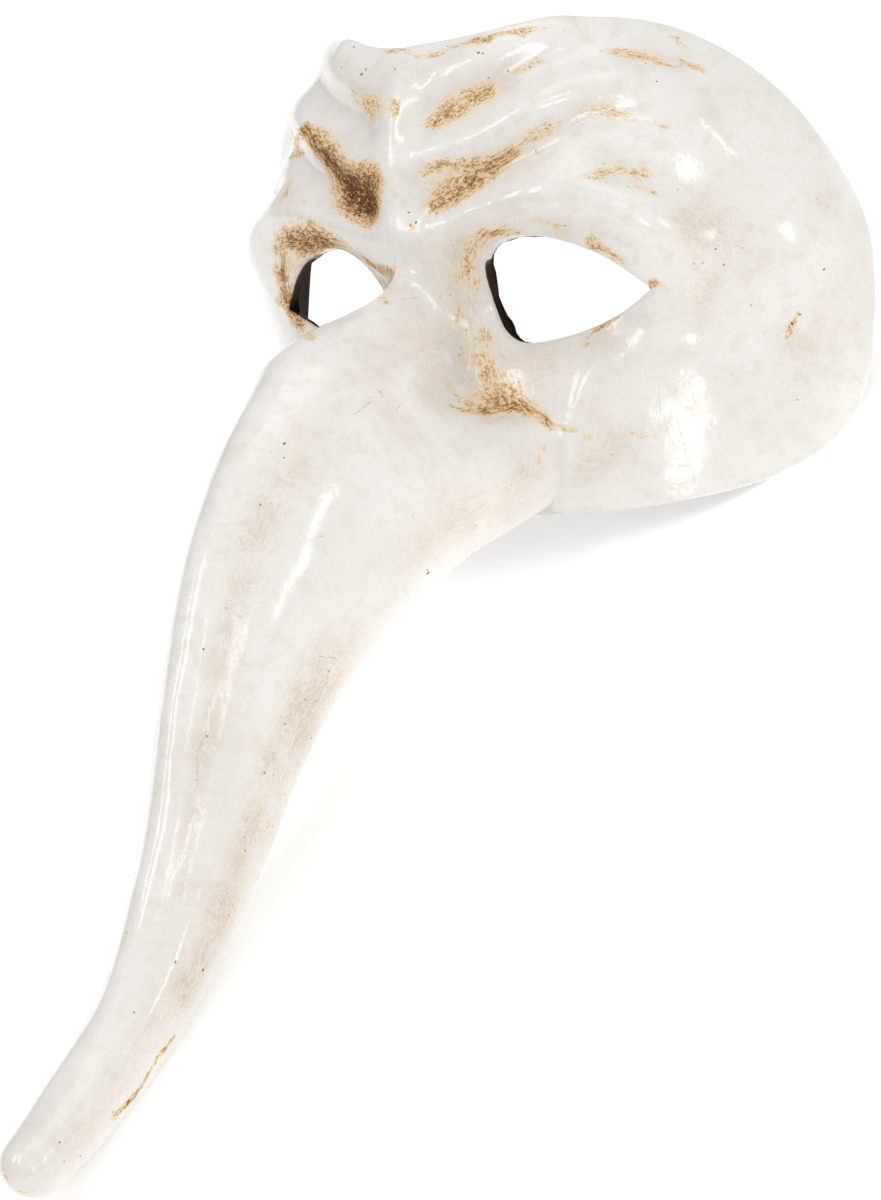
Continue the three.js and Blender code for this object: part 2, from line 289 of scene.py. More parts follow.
def throat_sheet(turn, out, relief):
    """The bend from the nose at out 0 into the face at out 1, creased beside and below the nose."""
    start = nose_sheet(turn, 1 + 0 * turn)
    end = face_sheet(turn, 0, relief)
    gap = np.linalg.norm(end - start, axis=-1, keepdims=True)
    start_way = unit(start - nose_sheet(turn, 0.98 + 0 * turn))
    face_way = unit(face_sheet(turn, 0.04, relief) - end)
    chord = unit(end - start)
    way = np.abs(turn)
    crease = (0.45 * smooth(0.08, 0.3, way) + 0.55 * smooth(0.35, 0.5, way))[..., None]
    end_way = unit(face_way + (chord - face_way) * crease)
    return hermite(start, start_way * gap, end, end_way * gap, out)


def sheet(turn, place, relief=1.0):
    """The whole skin: tip to place 1, nose to 2, throat to 3 and face to 4."""
    if place <= 1:
        return tip_sheet(turn, place)
    if place <= 2:
        return nose_sheet(turn, place - 1 + 0 * turn)
    if place <= 3:
        return throat_sheet(turn, place - 2, relief)
    return face_sheet(turn, place - 3, relief)


def inner_sheet(turn, place):
    """The skin's back, with its relief softened."""
    across = sheet(turn + SMALL, place, WAY_RELIEF) - sheet(turn - SMALL, place, WAY_RELIEF)
    along = sheet(turn, min(place + SMALL, 4), WAY_RELIEF) - sheet(turn, place - SMALL, WAY_RELIEF)
    return sheet(turn, place, LINING_RELIEF) + unit(np.cross(along, across)) * WALL


def waves(points, height, count, low, high, seed):
    """Smooth random heights, with wavelengths from low to high millimetres."""
    rng = np.random.default_rng(seed)
    ways = unit(rng.normal(size=(count, 3)))
    lengths = np.exp(rng.uniform(np.log(low), np.log(high), count))
    phases = rng.uniform(0, 2 * np.pi, count)
    total = np.zeros(points.shape[:-1])
    for way, length, phase in zip(ways, lengths, phases):
        total += np.sin(points @ (way * 2 * np.pi / length) + phase)
    return height * total / math.sqrt(count)


def outward_normals(grid):
    across = np.roll(grid, -1, 1) - np.roll(grid, 1, 1)
    normals = unit(np.cross(across, np.gradient(grid, axis=0)))
    forehead = normals[-20:, COLUMNS // 2]
    return -normals if forehead[:, 2].mean() < 0 else normals


def places(counts, first):
    """Places of the rings, with a count for each stretch from first on."""
    return np.concatenate([first + k + np.arange(1, n + 1) / n for k, n in enumerate(counts)])


# Turns of the two skins' columns, and the way from the nose to the rim along each outer one.
turns = -1 + 2 * np.arange(COLUMNS) / COLUMNS
inner_turns = -1 + 2 * np.arange(INNER_COLUMNS) / INNER_COLUMNS
reach = np.linalg.norm(face_sheet(turns, 1, 0) - face_sheet(turns, 0, 0), axis=-1)


def outer_grid():
    """Rings of the outer skin from the tip of the nose to the rim, a little uneven."""
    ring_places = places([TIP_ROWS, NOSE_ROWS, THROAT_ROWS, FACE_ROWS], 0)
    grid = np.array([
        face_sheet(turns, (place - 3) * (1 - 0.5 * WALL / reach), 1.0) if place > 3
        else sheet(turns, place)
        for place in ring_places
    ])
    on_nose = (1 - smooth(2.2, 3.0, ring_places))[:, None]
    lumps = ((1 - 0.6 * on_nose) * waves(grid, *BROAD_WAVES) + waves(grid, *FINE_WAVES)
             + on_nose * waves(grid * [1, 0.3, 0.3], *NOSE_WAVES))
    lumps += LUMP_RISE * np.exp(-((grid - LUMP_AT) ** 2).sum(-1) / (2 * LUMP_RADIUS ** 2))
    return grid + outward_normals(grid) * (lumps * smooth(0, 1.2, ring_places)[:, None])[..., None]


def eye_outline(side):
    """Closed outline of an eye hole, rounded through the points of EYE."""
    points = np.array(EYE)
    padded = np.vstack([points[:1], points, points[-1:]])
    dense = []
    for i in range(1, len(padded) - 2):
        p0, p1, p2, p3 = padded[i - 1:i + 3]
        u = np.linspace(0, 1, OUTLINE_STEPS + 1)[:-1, None]
        dense.append(hermite(p1, (p2 - p0) / 2, p2, (p3 - p1) / 2, u))
    return np.vstack(dense) * [side, 1]


def from_outline(points, outline):
    """Signed distance (negative inside) and nearest point of a closed outline in x and y."""
    starts, ends = outline, np.roll(outline, -1, 0)
    best = np.full(len(points), 1e9)
    nearest = np.zeros((len(points), 2))
    inside = np.zeros(len(points), bool)
    for start, way, end in zip(starts, ends - starts, ends):
        t = np.clip(((points - start) @ way) / (way @ way), 0, 1)
        foot = start + t[:, None] * way
        distance = np.linalg.norm(points - foot, axis=1)
        closer = distance < best
        best[closer] = distance[closer]
        nearest[closer] = foot[closer]
        crosses = (start[1] > points[:, 1]) != (end[1] > points[:, 1])
        with np.errstate(divide="ignore", invalid="ignore"):
            x = start[0] + (points[:, 1] - start[1]) * way[0] / way[1]
        inside ^= crosses & (points[:, 0] < x)
    return np.where(inside, -best, best), nearest


def hole_levels(flat, columns, first_row, grow):
    """Distance of each point from the ragged edge of the grown eye holes, negative inside."""
    level = np.full(len(flat), FAR_LEVEL)
    on_face = np.arange(len(flat)) // columns >= first_row
    for side in (1, -1):
        x, y, z = (flat * [side, 1, 1]).T
        in_box = [(low < v) & (v < high) for v, (low, high) in zip((x, y, z), NEAR_EYE)]
        near = np.nonzero(np.all([on_face, *in_box], axis=0))[0]
        distance, _ = from_outline(flat[near, :2], eye_outline(side))
        # Only the lining, whose holes don't grow, reaches in beside the nose.
        if grow == 0:
            at_nose = 1 - smooth(17, 25, x[near])
            for height, reach_in in LINING_TONGUES:
                distance = distance + reach_in * at_nose * np.exp(-((y[near] - height) / 3) ** 2)
        level[near] = distance - grow - waves(flat[near] * [1, 1, 0], *HOLE_WAVES)
    return level


def cut_holes(grid, first_row, grow):
    """Moves points onto the holes' edges; gives each point's state: -1 in a hole, 0 on its edge, 1 out."""
    flat = grid.reshape(-1, 3)
    level = hole_levels(flat, grid.shape[1], first_row, grow)
    ids = np.arange(len(flat)).reshape(grid.shape[:2])
    a = np.concatenate([ids.ravel(), ids[:-1].ravel()])
    b = np.concatenate([np.roll(ids, -1, 1).ravel(), ids[1:].ravel()])
    crossing = (level[a] * level[b] < 0) & (np.maximum(level[a], level[b]) < FAR_LEVEL)
    a, b = a[crossing], b[crossing]
    t = level[a] / (level[a] - level[b])
    swap = t > 0.5
    mover, other, share = np.where(swap, b, a), np.where(swap, a, b), np.where(swap, 1 - t, t)
    order = np.argsort(-share)
    mover, other, share = mover[order], other[order], share[order, None]
    moved = flat.copy()
    moved[mover] = flat[mover] + share * (flat[other] - flat[mover])
    state = np.sign(level)
    state[mover] = 0
    return moved.reshape(grid.shape), state.reshape(grid.shape[:2]).astype(int)


def halves(p, q, r, s, along_pr):
    """Two triangles for each four-sided face, cut from p to r or from q to s."""
    cut = along_pr[:, None]
    return [np.where(cut, np.stack([p, q, r], 1), np.stack([p, q, s], 1)),
            np.where(cut, np.stack([p, r, s], 1), np.stack([q, r, s], 1))]


def shorter(points, p, q, r, s):
    """Whether the way from p to r is shorter than from q to s."""
    return np.linalg.norm(points[p] - points[r], axis=1) < np.linalg.norm(points[q] - points[s], axis=1)


class Builder:
    """Collects points, how far inside the shell each one counts, and triangles."""

    def __init__(self):
        self.points, self.inner, self.triangles = [], [], []
        self.count = 0

    def add(self, points, inner):
        points = np.asarray(points, float).reshape(-1, 3)
        self.points.append(points)
        self.inner.append(np.broadcast_to(inner, len(points)))
        self.count += len(points)
        return np.arange(self.count - len(points), self.count)

    def quads(self, p, q, r, s):
        along_pr = shorter(np.concatenate(self.points), p, q, r, s)
        self.triangles += halves(p, q, r, s, along_pr)


def grid_triangles(ids, state, points, flip):
    """Triangles of a ring grid, without those inside the holes."""
    state, first = state.ravel(), ids[0, 0]
    ahead = np.roll(ids, -1, 1)
    p, q, r, s = (ring.ravel() - first for ring in (ids[:-1], ahead[:-1], ahead[1:], ids[1:]))
    along_pr = np.where(state[q] * state[s] < 0, True, shorter(points, p, q, r, s))
    along_pr = np.where(state[p] * state[r] < 0, False, along_pr)
    both = np.vstack(halves(p, q, r, s, along_pr))
    keep = (state[both] >= 0).all(1)
    on_edge = np.nonzero((state[both] == 0).all(1))[0]
    centres = points[both[on_edge]].mean(1)
    for side in (1, -1):
        distance, _ = from_outline(centres[:, :2], eye_outline(side))
        keep[on_edge[distance < HOLE_ROUND * 0.5]] = False
    both = both[keep] + first
    return both[:, ::-1] if flip else both


def hole_loop(triangles, on, points, side):
    """Ordered ring of points round one hole, from the points that are on an edge."""
    edges = set()
    for a, b, c in triangles[np.isin(triangles, list(on)).sum(1) >= 2].tolist():
        edges |= {(a, b), (b, c), (c, a)}
    following = {v: u for u, v in edges if (v, u) not in edges and u in on and v in on}
    start = next(k for k in following if points[k, 0] * side > 0)
    loop, at = [start], following[start]
    while at != start:
        loop.append(at)
        at = following[at]
    return np.array(loop)


def rising(ring, points, side):
    """A ring round an eye hole in rising order, and each point's share of the way round."""
    across = (points[ring, 0] * side - EYE_MIDDLE[0]) * side / EYE_REACH[0]
    share = np.arctan2((points[ring, 1] - EYE_MIDDLE[1]) / EYE_REACH[1], across) / (2 * np.pi) % 1
    if np.diff(np.unwrap(share * 2 * np.pi)).sum() < 0:
        ring, share = ring[::-1], share[::-1]
    start = int(np.argmin(share))
    return np.roll(ring, -start), np.maximum.accumulate(np.roll(share, -start))


def zip_rings(a, share_a, b, share_b, flip):
    """Triangles between two closed rings whose shares run from 0 up to 1."""
    i = j = 0
    triangles = []
    while i < len(a) or j < len(b):
        next_a = share_a[i + 1] if i + 1 < len(a) else share_a[0] + 1
        next_b = share_b[j + 1] if j + 1 < len(b) else share_b[0] + 1
        if j >= len(b) or (i < len(a) and next_a <= next_b):
            triangles.append((a[i], a[(i + 1) % len(a)], b[j % len(b)]))
            i += 1
        else:
            triangles.append((a[i % len(a)], b[(j + 1) % len(b)], b[j]))
            j += 1
    triangles = np.array(triangles)
    return triangles[:, ::-1] if flip else triangles


# The photograph's frame, in pixels of its 881 x 1200, and the camera in the face frame.
FRAME_CENTRE = np.array([440.5, 600])
FRAME_HEIGHT = 1200
LENS, SENSOR = 128.6, 36
EYE_DISTANCE = 1000
YAW = math.radians(39)
AIM = np.array([0, -71, 52])
TOWARDS_EYE = np.array([math.sin(YAW), 0, math.cos(YAW)])
FRAME_RIGHT = np.array([math.cos(YAW), 0, -math.sin(YAW)])

# A point counts as seen while its normal has more than EDGE_ON towards the eye. A place takes the
# skin within NEAR_PLACE pixels, and of that the first layer, LAYER_DEPTH millimetres deep.
EDGE_ON, NEAR_PLACE, LAYER_DEPTH = -0.05, 8, 6

# Strokes of the near half have weaker and a little higher twins on the far half, except where it has
# strokes of its own: on the brow and over the eye, up from y OWN_UP and out to x OWN_OUT.
TWIN_STRENGTH, TWIN_SHIFT = 0.85, 1.2
MIDDLE, OWN_OUT, OWN_UP = 2, 44, 6

# Dots of a stroke lie DOT_STEP apart and reach REACH radii. The flow leaves out FLOW_SHARE of the way
# along a stroke, which stretches the streaks along it. Specks have radii of size / SPECK_SCALE metres.
DOT_STEP, REACH, FLOW_SHARE = 0.7, 6, 0.78
SPECK_SCALE = 1900

# Metres: half widths of a crack where it is darkest and where it ends, and heights of the relief.
CRACK_CORE, CRACK_END = 0.00003, 0.00017
UNEVEN_HEIGHT, GRAIN_HEIGHT, STREAK_DEPTH = 0.00016, 0.00003, 0.00005
FIBRE_HEIGHT, PAPER_HEIGHT = 0.0004, 0.0005

# Brown stains, as strokes of (across, down, strength, radius): the place in the frame where the camera
# sees the skin, and a radius in millimetres. A group has a name, a factor for strength and one for radius.
WASH = {
    "second groove, near side": (1, 1, [
        [(424, 212, 0.55, 1.5), (436, 205, 0.9, 1.9), (452, 198, 1, 2.1), (468, 188, 1, 2.1),
         (484, 175, 1.1, 2.1), (498, 164, 1.1, 1.9), (510, 156, 1, 1.4), (518, 150, 0.7, 1)],
        [(416, 180, 0.3, 1.5), (424, 170, 0.55, 1.3), (440, 164, 0.6, 1.2), (456, 161, 0.6, 1.4),
         (472, 162, 0.4, 1.5), (486, 160, 0.3, 1.3)],
        [(428, 188, 0.4, 2.3), (450, 180, 0.35, 2.3), (470, 174, 0.35, 2)],
        [(514, 148, 0.4, 1), (526, 140, 0.65, 1.5), (540, 132, 0.65, 1.7), (556, 127, 0.5, 1.2),
         (570, 122, 0.2, 1.1)],
        [(533, 155, 0.45, 0.8), (541, 152, 0.55, 0.8)],
    ]),
    "between the brows": (1, 1, [
        [(409, 230, 0.5, 0.8), (412, 225, 0.9, 0.8), (418, 222, 0.4, 0.8)],
    ]),
    "second groove, towards the temple": (1, 1, [
        [(576, 116, 0.35, 1.2), (592, 110, 0.5, 1.3), (608, 109, 0.55, 1.2), (622, 114, 0.5, 1.1),
         (636, 121, 0.3, 1), (650, 125, 0.35, 0.9), (663, 127, 0.5, 0.8), (672, 127, 0.2, 0.8)],
    ]),
    "third groove, near side": (1, 1, [
        [(582, 178, 0.4, 1.2), (590, 178, 0.6, 1.4), (600, 176, 0.75, 1.6), (612, 172, 0.45, 1.4),
         (628, 170, 0.55, 1.4), (644, 175, 0.65, 1.5), (656, 177, 0.3, 1.2)],
        [(618, 186, 0.25, 0.9), (638, 189, 0.5, 0.8), (650, 192, 0.6, 0.8), (660, 197, 0.5, 0.8)],
        [(672, 183, 0.25, 1), (681, 185, 0.55, 0.8)],
    ]),
    "first groove, near side": (1, 1, [
        [(421, 126, 0.4, 1.1), (434, 122, 0.85, 1.5), (444, 119, 1.05, 1.7), (456, 113, 0.95, 1.9),
         (466, 108, 0.75, 1.7)],
        [(472, 103, 0.6, 1.5), (480, 97, 1.15, 2.1), (488, 92, 1.05, 1.7), (496, 86, 0.6, 1.1)],
        [(438, 107, 0.4, 1.6), (454, 99, 0.4, 1.7), (470, 92, 0.45, 1.4)],
        [(504, 77, 0.2, 0.8), (518, 68, 0.4, 1.1), (528, 65, 0.7, 1.2), (536, 62, 0.8, 1.1),
         (541, 60, 0.5, 0.8)],
    ]),
    "first groove, towards the temple": (1, 1, [
        [(598, 50, 0.25, 1), (616, 53, 0.65, 1.3), (630, 53, 0.65, 1.4), (642, 57, 0.7, 1.5),
         (653, 60, 0.85, 1.4)],
        [(661, 60, 0.5, 1), (664, 67, 0.75, 1.2)],
        [(672, 67, 0.5, 0.9), (676, 68, 0.5, 0.9)],
        [(680, 60, 0.6, 1.2), (685, 65, 0.8, 1.3), (694, 66, 0.5, 1), (703, 69, 0.8, 0.8),
         (706, 75, 0.4, 0.8)],
        [(666, 35, 0.3, 1), (680, 36, 0.5, 1), (675, 46, 0.35, 1.1), (692, 47, 0.3, 1)],
    ]),
    "upper rim": (1, 1, [
        [(376, 42, 0.2, 0.8), (390, 45, 0.6, 0.8), (402, 49, 0.5, 0.9), (418, 57, 0.35, 0.7),
         (434, 55, 0.75, 0.7), (446, 50, 0.75, 0.6), (462, 45, 0.5, 0.6), (480, 39, 0.85, 0.7),
         (500, 34, 0.5, 0.7), (524, 30, 0.6, 0.7), (548, 27, 0.35, 0.7)],
        [(478, 44, 0.9, 0.6), (490, 41, 0.9, 0.6)],
        [(516, 38, 0.3, 1.1), (530, 34, 0.4, 1)],
    ]),
    "second groove, far side": (1.6, 1.2, [
        [(303, 128, 0.6, 1.3), (312, 140, 0.85, 1.9), (322, 152, 1.1, 2.4), (334, 166, 1.25, 2.8),
         (346, 180, 1.35, 3), (358, 188, 1.3, 3.2), (370, 186, 1.2, 3), (377, 176, 0.8, 1.6)],
        [(350, 200, 0.6, 2), (362, 208, 0.65, 2.2), (375, 200, 0.85, 2)],
        [(368, 214, 0.5, 1.8), (374, 220, 0.3, 1.8)],
    ]),
    "far rim beside the second groove": (1, 1, [
        [(292, 146, 0.75, 1.4), (298, 138, 0.65, 1.3), (304, 129, 0.85, 1.2)],
        [(287, 158, 0.8, 0.6), (300, 151, 0.85, 0.6)],
    ]),
    "first groove, far side": (1, 1, [
        [(346, 84, 0.3, 1.3), (352, 95, 0.4, 1.5), (358, 104, 0.6, 1.9), (368, 101, 0.65, 2.1),
         (378, 100, 0.6, 1.9)],
        [(366, 114, 0.5, 1.9), (378, 118, 0.35, 1.9), (388, 106, 0.5, 1.7)],
        [(395, 100, 0.6, 0.9), (398, 108, 0.9, 1), (393, 118, 0.55, 1.1)],
        [(336, 62, 0.35, 1.3), (343, 70, 0.25, 1.3)],
        [(318, 77, 0.55, 0.8), (311, 87, 0.35, 0.9)],
    ]),
    "third groove, far side": (1, 1, [
        [(292, 180, 0.35, 1.3), (285, 193, 0.6, 1.5), (279, 203, 0.5, 1.3)],
        [(294, 208, 0.25, 1.8), (312, 205, 0.15, 1.8)],
    ]),
    "over the far eye": (1.1, 1, [
        [(276, 254, 0.35, 1.8), (284, 243, 0.75, 2.2), (296, 235, 0.95, 2.4), (310, 232, 1.1, 2.6),
         (324, 236, 1.05, 2.4), (338, 242, 0.85, 1.9), (350, 247, 0.6, 1.2)],
        [(298, 254, 1.15, 2.2), (314, 247, 1.25, 2.1), (330, 244, 1.05, 1.6)],
    ]),
    "round the far eye": (1, 1, [
        [(279, 266, 0.8, 1.7), (285, 280, 0.95, 1.9), (287, 296, 1.15, 1.8), (289, 310, 1.25, 1.6),
         (296, 324, 1.05, 1.5), (304, 334, 0.85, 1.3), (313, 341, 0.7, 1.1)],
        [(275, 304, 0.45, 0.9), (281, 304, 0.5, 0.8)],
        [(360, 257, 0.6, 1.1), (370, 266, 0.95, 1.2), (380, 270, 1.05, 1.4), (392, 273, 0.85, 1.1),
         (399, 268, 0.3, 1.2)],
        [(379, 299, 0.6, 0.9), (388, 303, 0.95, 0.9)],
    ]),
    "over the near eye": (1, 1, [
        [(508, 229, 0.9, 0.7), (498, 232, 0.95, 0.8), (486, 232, 1.05, 1.3), (478, 238, 0.95, 1.7),
         (472, 247, 0.85, 1.7), (466, 258, 0.65, 1.5), (468, 268, 0.6, 1), (460, 276, 0.45, 1.1)],
        [(517, 231, 0.75, 0.7), (525, 236, 0.9, 0.7)],
        [(496, 222, 0.35, 1.6), (520, 222, 0.25, 1.6), (545, 222, 0.35, 1.5), (556, 226, 0.55, 1),
         (568, 228, 0.45, 1)],
        [(584, 241, 0.5, 1.2), (594, 236, 0.75, 1.2)],
        [(588, 247, 0.7, 1.1), (596, 247, 0.85, 1.2), (606, 253, 0.9, 1.1), (614, 258, 0.85, 1),
         (623, 264, 0.6, 0.7)],
    ]),
    "outer corner of the near eye": (1, 1, [
        [(651, 285, 1.5, 0.7), (658, 284, 1.4, 0.8), (664, 286, 0.6, 0.5)],
    ]),
    "under the near eye": (1, 1, [
        [(622, 316, 0.4, 0.8), (611, 324, 0.75, 0.8), (601, 330, 0.95, 0.9), (591, 334, 0.5, 0.8)],
        [(581, 343, 0.7, 0.8), (586, 345, 0.9, 0.8), (593, 343, 0.4, 0.6)],
        [(569, 342, 0.35, 0.8), (574, 345, 0.3, 0.7)],
        [(595, 354, 0.45, 0.6)],
        [(535, 357, 0.85, 0.7), (528, 355, 0.45, 0.9), (519, 365, 0.3, 0.9)],
    ]),
    "beside the root of the nose": (0.7, 1.4, [
        [(484, 279, 0.65, 0.7), (470, 283, 0.4, 1.4), (463, 290, 0.35, 1.6)],
        [(462, 320, 0.7, 0.8), (457, 308, 0.35, 1.2)],
        [(488, 331, 0.75, 1.2), (484, 340, 0.5, 1.3)],
    ]),
    "down to the crease": (0.5, 1, [
        [(483, 348, 0.55, 1.4), (482, 358, 0.6, 1.5), (489, 368, 0.7, 1.5), (481, 375, 0.55, 1.6),
         (488, 382, 0.65, 1.9), (497, 389, 0.85, 2)],
    ]),
    "film beside the root of the nose": (1, 1, [
        [(458, 255, 0.14, 3), (460, 290, 0.2, 3.2), (466, 330, 0.22, 3.2), (478, 360, 0.3, 3.4),
         (495, 385, 0.3, 3.2)],
    ]),
    "crease round the root of the nose": (0.5, 1, [
        [(502, 366, 0.3, 2), (512, 374, 0.5, 1.8), (518, 382, 0.8, 1.1), (522, 391, 0.6, 1.2)],
        [(455, 390, 0.65, 1.2), (462, 400, 1.05, 1.4), (472, 406, 1.3, 1.5), (484, 409, 1.4, 1.4),
         (498, 405, 1.3, 1.8), (512, 403, 1.35, 2.2), (526, 407, 1.4, 1.5), (538, 412, 1.4, 1.2),
         (546, 416, 1.35, 1), (548, 423, 0.95, 0.8), (550, 432, 0.5, 0.6)],
        [(468, 396, 0.5, 1.8), (490, 396, 0.85, 2), (508, 394, 0.95, 2), (522, 399, 0.6, 1.4)],
    ]),
    "line along the crease": (0.85, 1, [
        [(446, 402, 0.6, 1.2), (464, 410, 0.8, 1.3), (484, 412, 0.9, 1.4), (506, 410, 0.8, 1.3),
         (530, 413, 0.5, 1.2), (548, 423, 0.5, 1.1), (562, 432, 0.4, 1)],
        [(447, 385, 0.6, 1), (450, 379, 0.5, 0.8)],
        [(545, 358, 0.25, 1.6), (548, 372, 0.2, 1.8), (544, 392, 0.35, 1)],
    ]),
    "line from the crease across the cheek": (1, 1, [
        [(561, 426, 0.6, 0.6), (568, 428, 0.8, 0.7), (575, 431, 0.9, 0.7)],
        [(582, 436, 0.6, 0.8), (590, 437, 0.6, 0.9), (597, 440, 0.5, 0.7)],
        [(600, 430, 0.45, 0.8), (604, 438, 0.4, 0.8)],
        [(631, 434, 0.7, 0.6), (640, 436, 0.4, 0.9), (652, 437, 0.35, 1), (662, 434, 0.35, 1)],
        [(590, 412, 0.2, 1.6), (604, 410, 0.2, 1.6)],
        [(575, 468, 0.3, 1), (572, 478, 0.25, 1.2), (604, 474, 0.25, 0.9)],
    ]),
    "bridge of the nose": (1, 1, [
        [(418, 362, 0.4, 1), (421, 350, 0.35, 1.1), (427, 340, 0.3, 1.2)],
        [(379, 389, 0.85, 0.7), (383, 395, 0.6, 0.6)],
        [(350, 372, 0.45, 0.9), (357, 375, 0.25, 0.9)],
        [(347, 435, 0.3, 1.2), (341, 441, 0.35, 1)],
        [(425, 404, 0.6, 0.5)],
        [(546, 440, 0.35, 0.7), (542, 452, 0.4, 0.9), (538, 460, 0.65, 0.9), (533, 470, 0.3, 1.3)],
    ]),
    "thin marks down the nose": (0.4, 1, [
        [(430, 548, 0.5, 0.8), (432, 556, 0.4, 0.8)],
        [(458, 521, 0.4, 0.8), (500, 500, 0.3, 1.6), (492, 512, 0.35, 1.4)],
        [(388, 577, 0.4, 1.6), (393, 586, 0.35, 1.4)],
        [(278, 476, 0.5, 1.1), (271, 490, 0.5, 1.2), (266, 502, 0.5, 1.1), (260, 515, 0.4, 1.1),
         (256, 527, 0.4, 1), (250, 540, 0.35, 1)],
        [(236, 622, 0.35, 1), (234, 640, 0.4, 0.9), (232, 660, 0.3, 0.9)],
        [(320, 656, 0.25, 1.4), (312, 664, 0.35, 1.5), (304, 678, 0.45, 1.6), (296, 693, 0.5, 1.6),
         (289, 706, 0.55, 1.6), (283, 720, 0.45, 1.5)],
        [(270, 744, 0.5, 1.2), (266, 752, 0.45, 1.2), (271, 760, 0.3, 1.2)],
        [(264, 776, 0.55, 1.2), (259, 790, 0.7, 1.2), (255, 803, 0.6, 1.3), (250, 818, 0.45, 1.3)],
        [(262, 800, 0.5, 0.9), (258, 812, 0.5, 0.9)],
        [(222, 916, 0.5, 1.3), (216, 926, 0.6, 1.3), (206, 936, 0.5, 1.5), (198, 950, 0.4, 1.6)],
        [(205, 960, 0.5, 1), (196, 974, 0.5, 1.2), (194, 984, 0.7, 0.8)],
        [(178, 996, 0.6, 1.2), (170, 1004, 0.55, 1.2), (176, 1014, 0.5, 1)],
        [(146, 1046, 0.4, 1.2), (136, 1058, 0.5, 1.3), (128, 1070, 0.5, 1.4)],
        [(98, 1132, 0.6, 1), (84, 1146, 0.8, 1.1), (72, 1156, 0.7, 1.4), (60, 1166, 0.5, 1.5)],
        [(115, 1046, 0.5, 0.7), (68, 1082, 0.3, 1)],
        [(3, 1168, 1, 0.9), (8, 1180, 1.1, 0.9), (16, 1190, 1, 0.8), (28, 1192, 0.7, 0.8),
         (45, 1186, 0.4, 0.8)],
        [(15, 1168, 0.5, 1.2), (20, 1176, 0.4, 1.2)],
    ]),
    "strong marks near the tip": (1, 1, [
        [(168, 1042, 1.2, 0.6), (158, 1058, 0.8, 0.6), (148, 1072, 1.1, 0.6)],
        [(140, 1084, 0.9, 0.7), (132, 1096, 1.1, 0.7), (122, 1109, 1.2, 0.7), (112, 1118, 0.7, 0.8)],
        [(267, 829, 1, 0.6), (271, 822, 0.8, 0.5)],
    ]),
    "cheek rim": (1, 1, [
        [(828, 190, 0.3, 0.8), (820, 205, 0.45, 0.8)],
        [(800, 314, 0.9, 0.5), (794, 326, 1, 0.7), (788, 336, 0.6, 0.7), (784, 345, 0.35, 1)],
        [(690, 288, 0.3, 1.2), (698, 298, 0.3, 1.2)],
        [(746, 88, 0.35, 0.8)],
    ]),
}

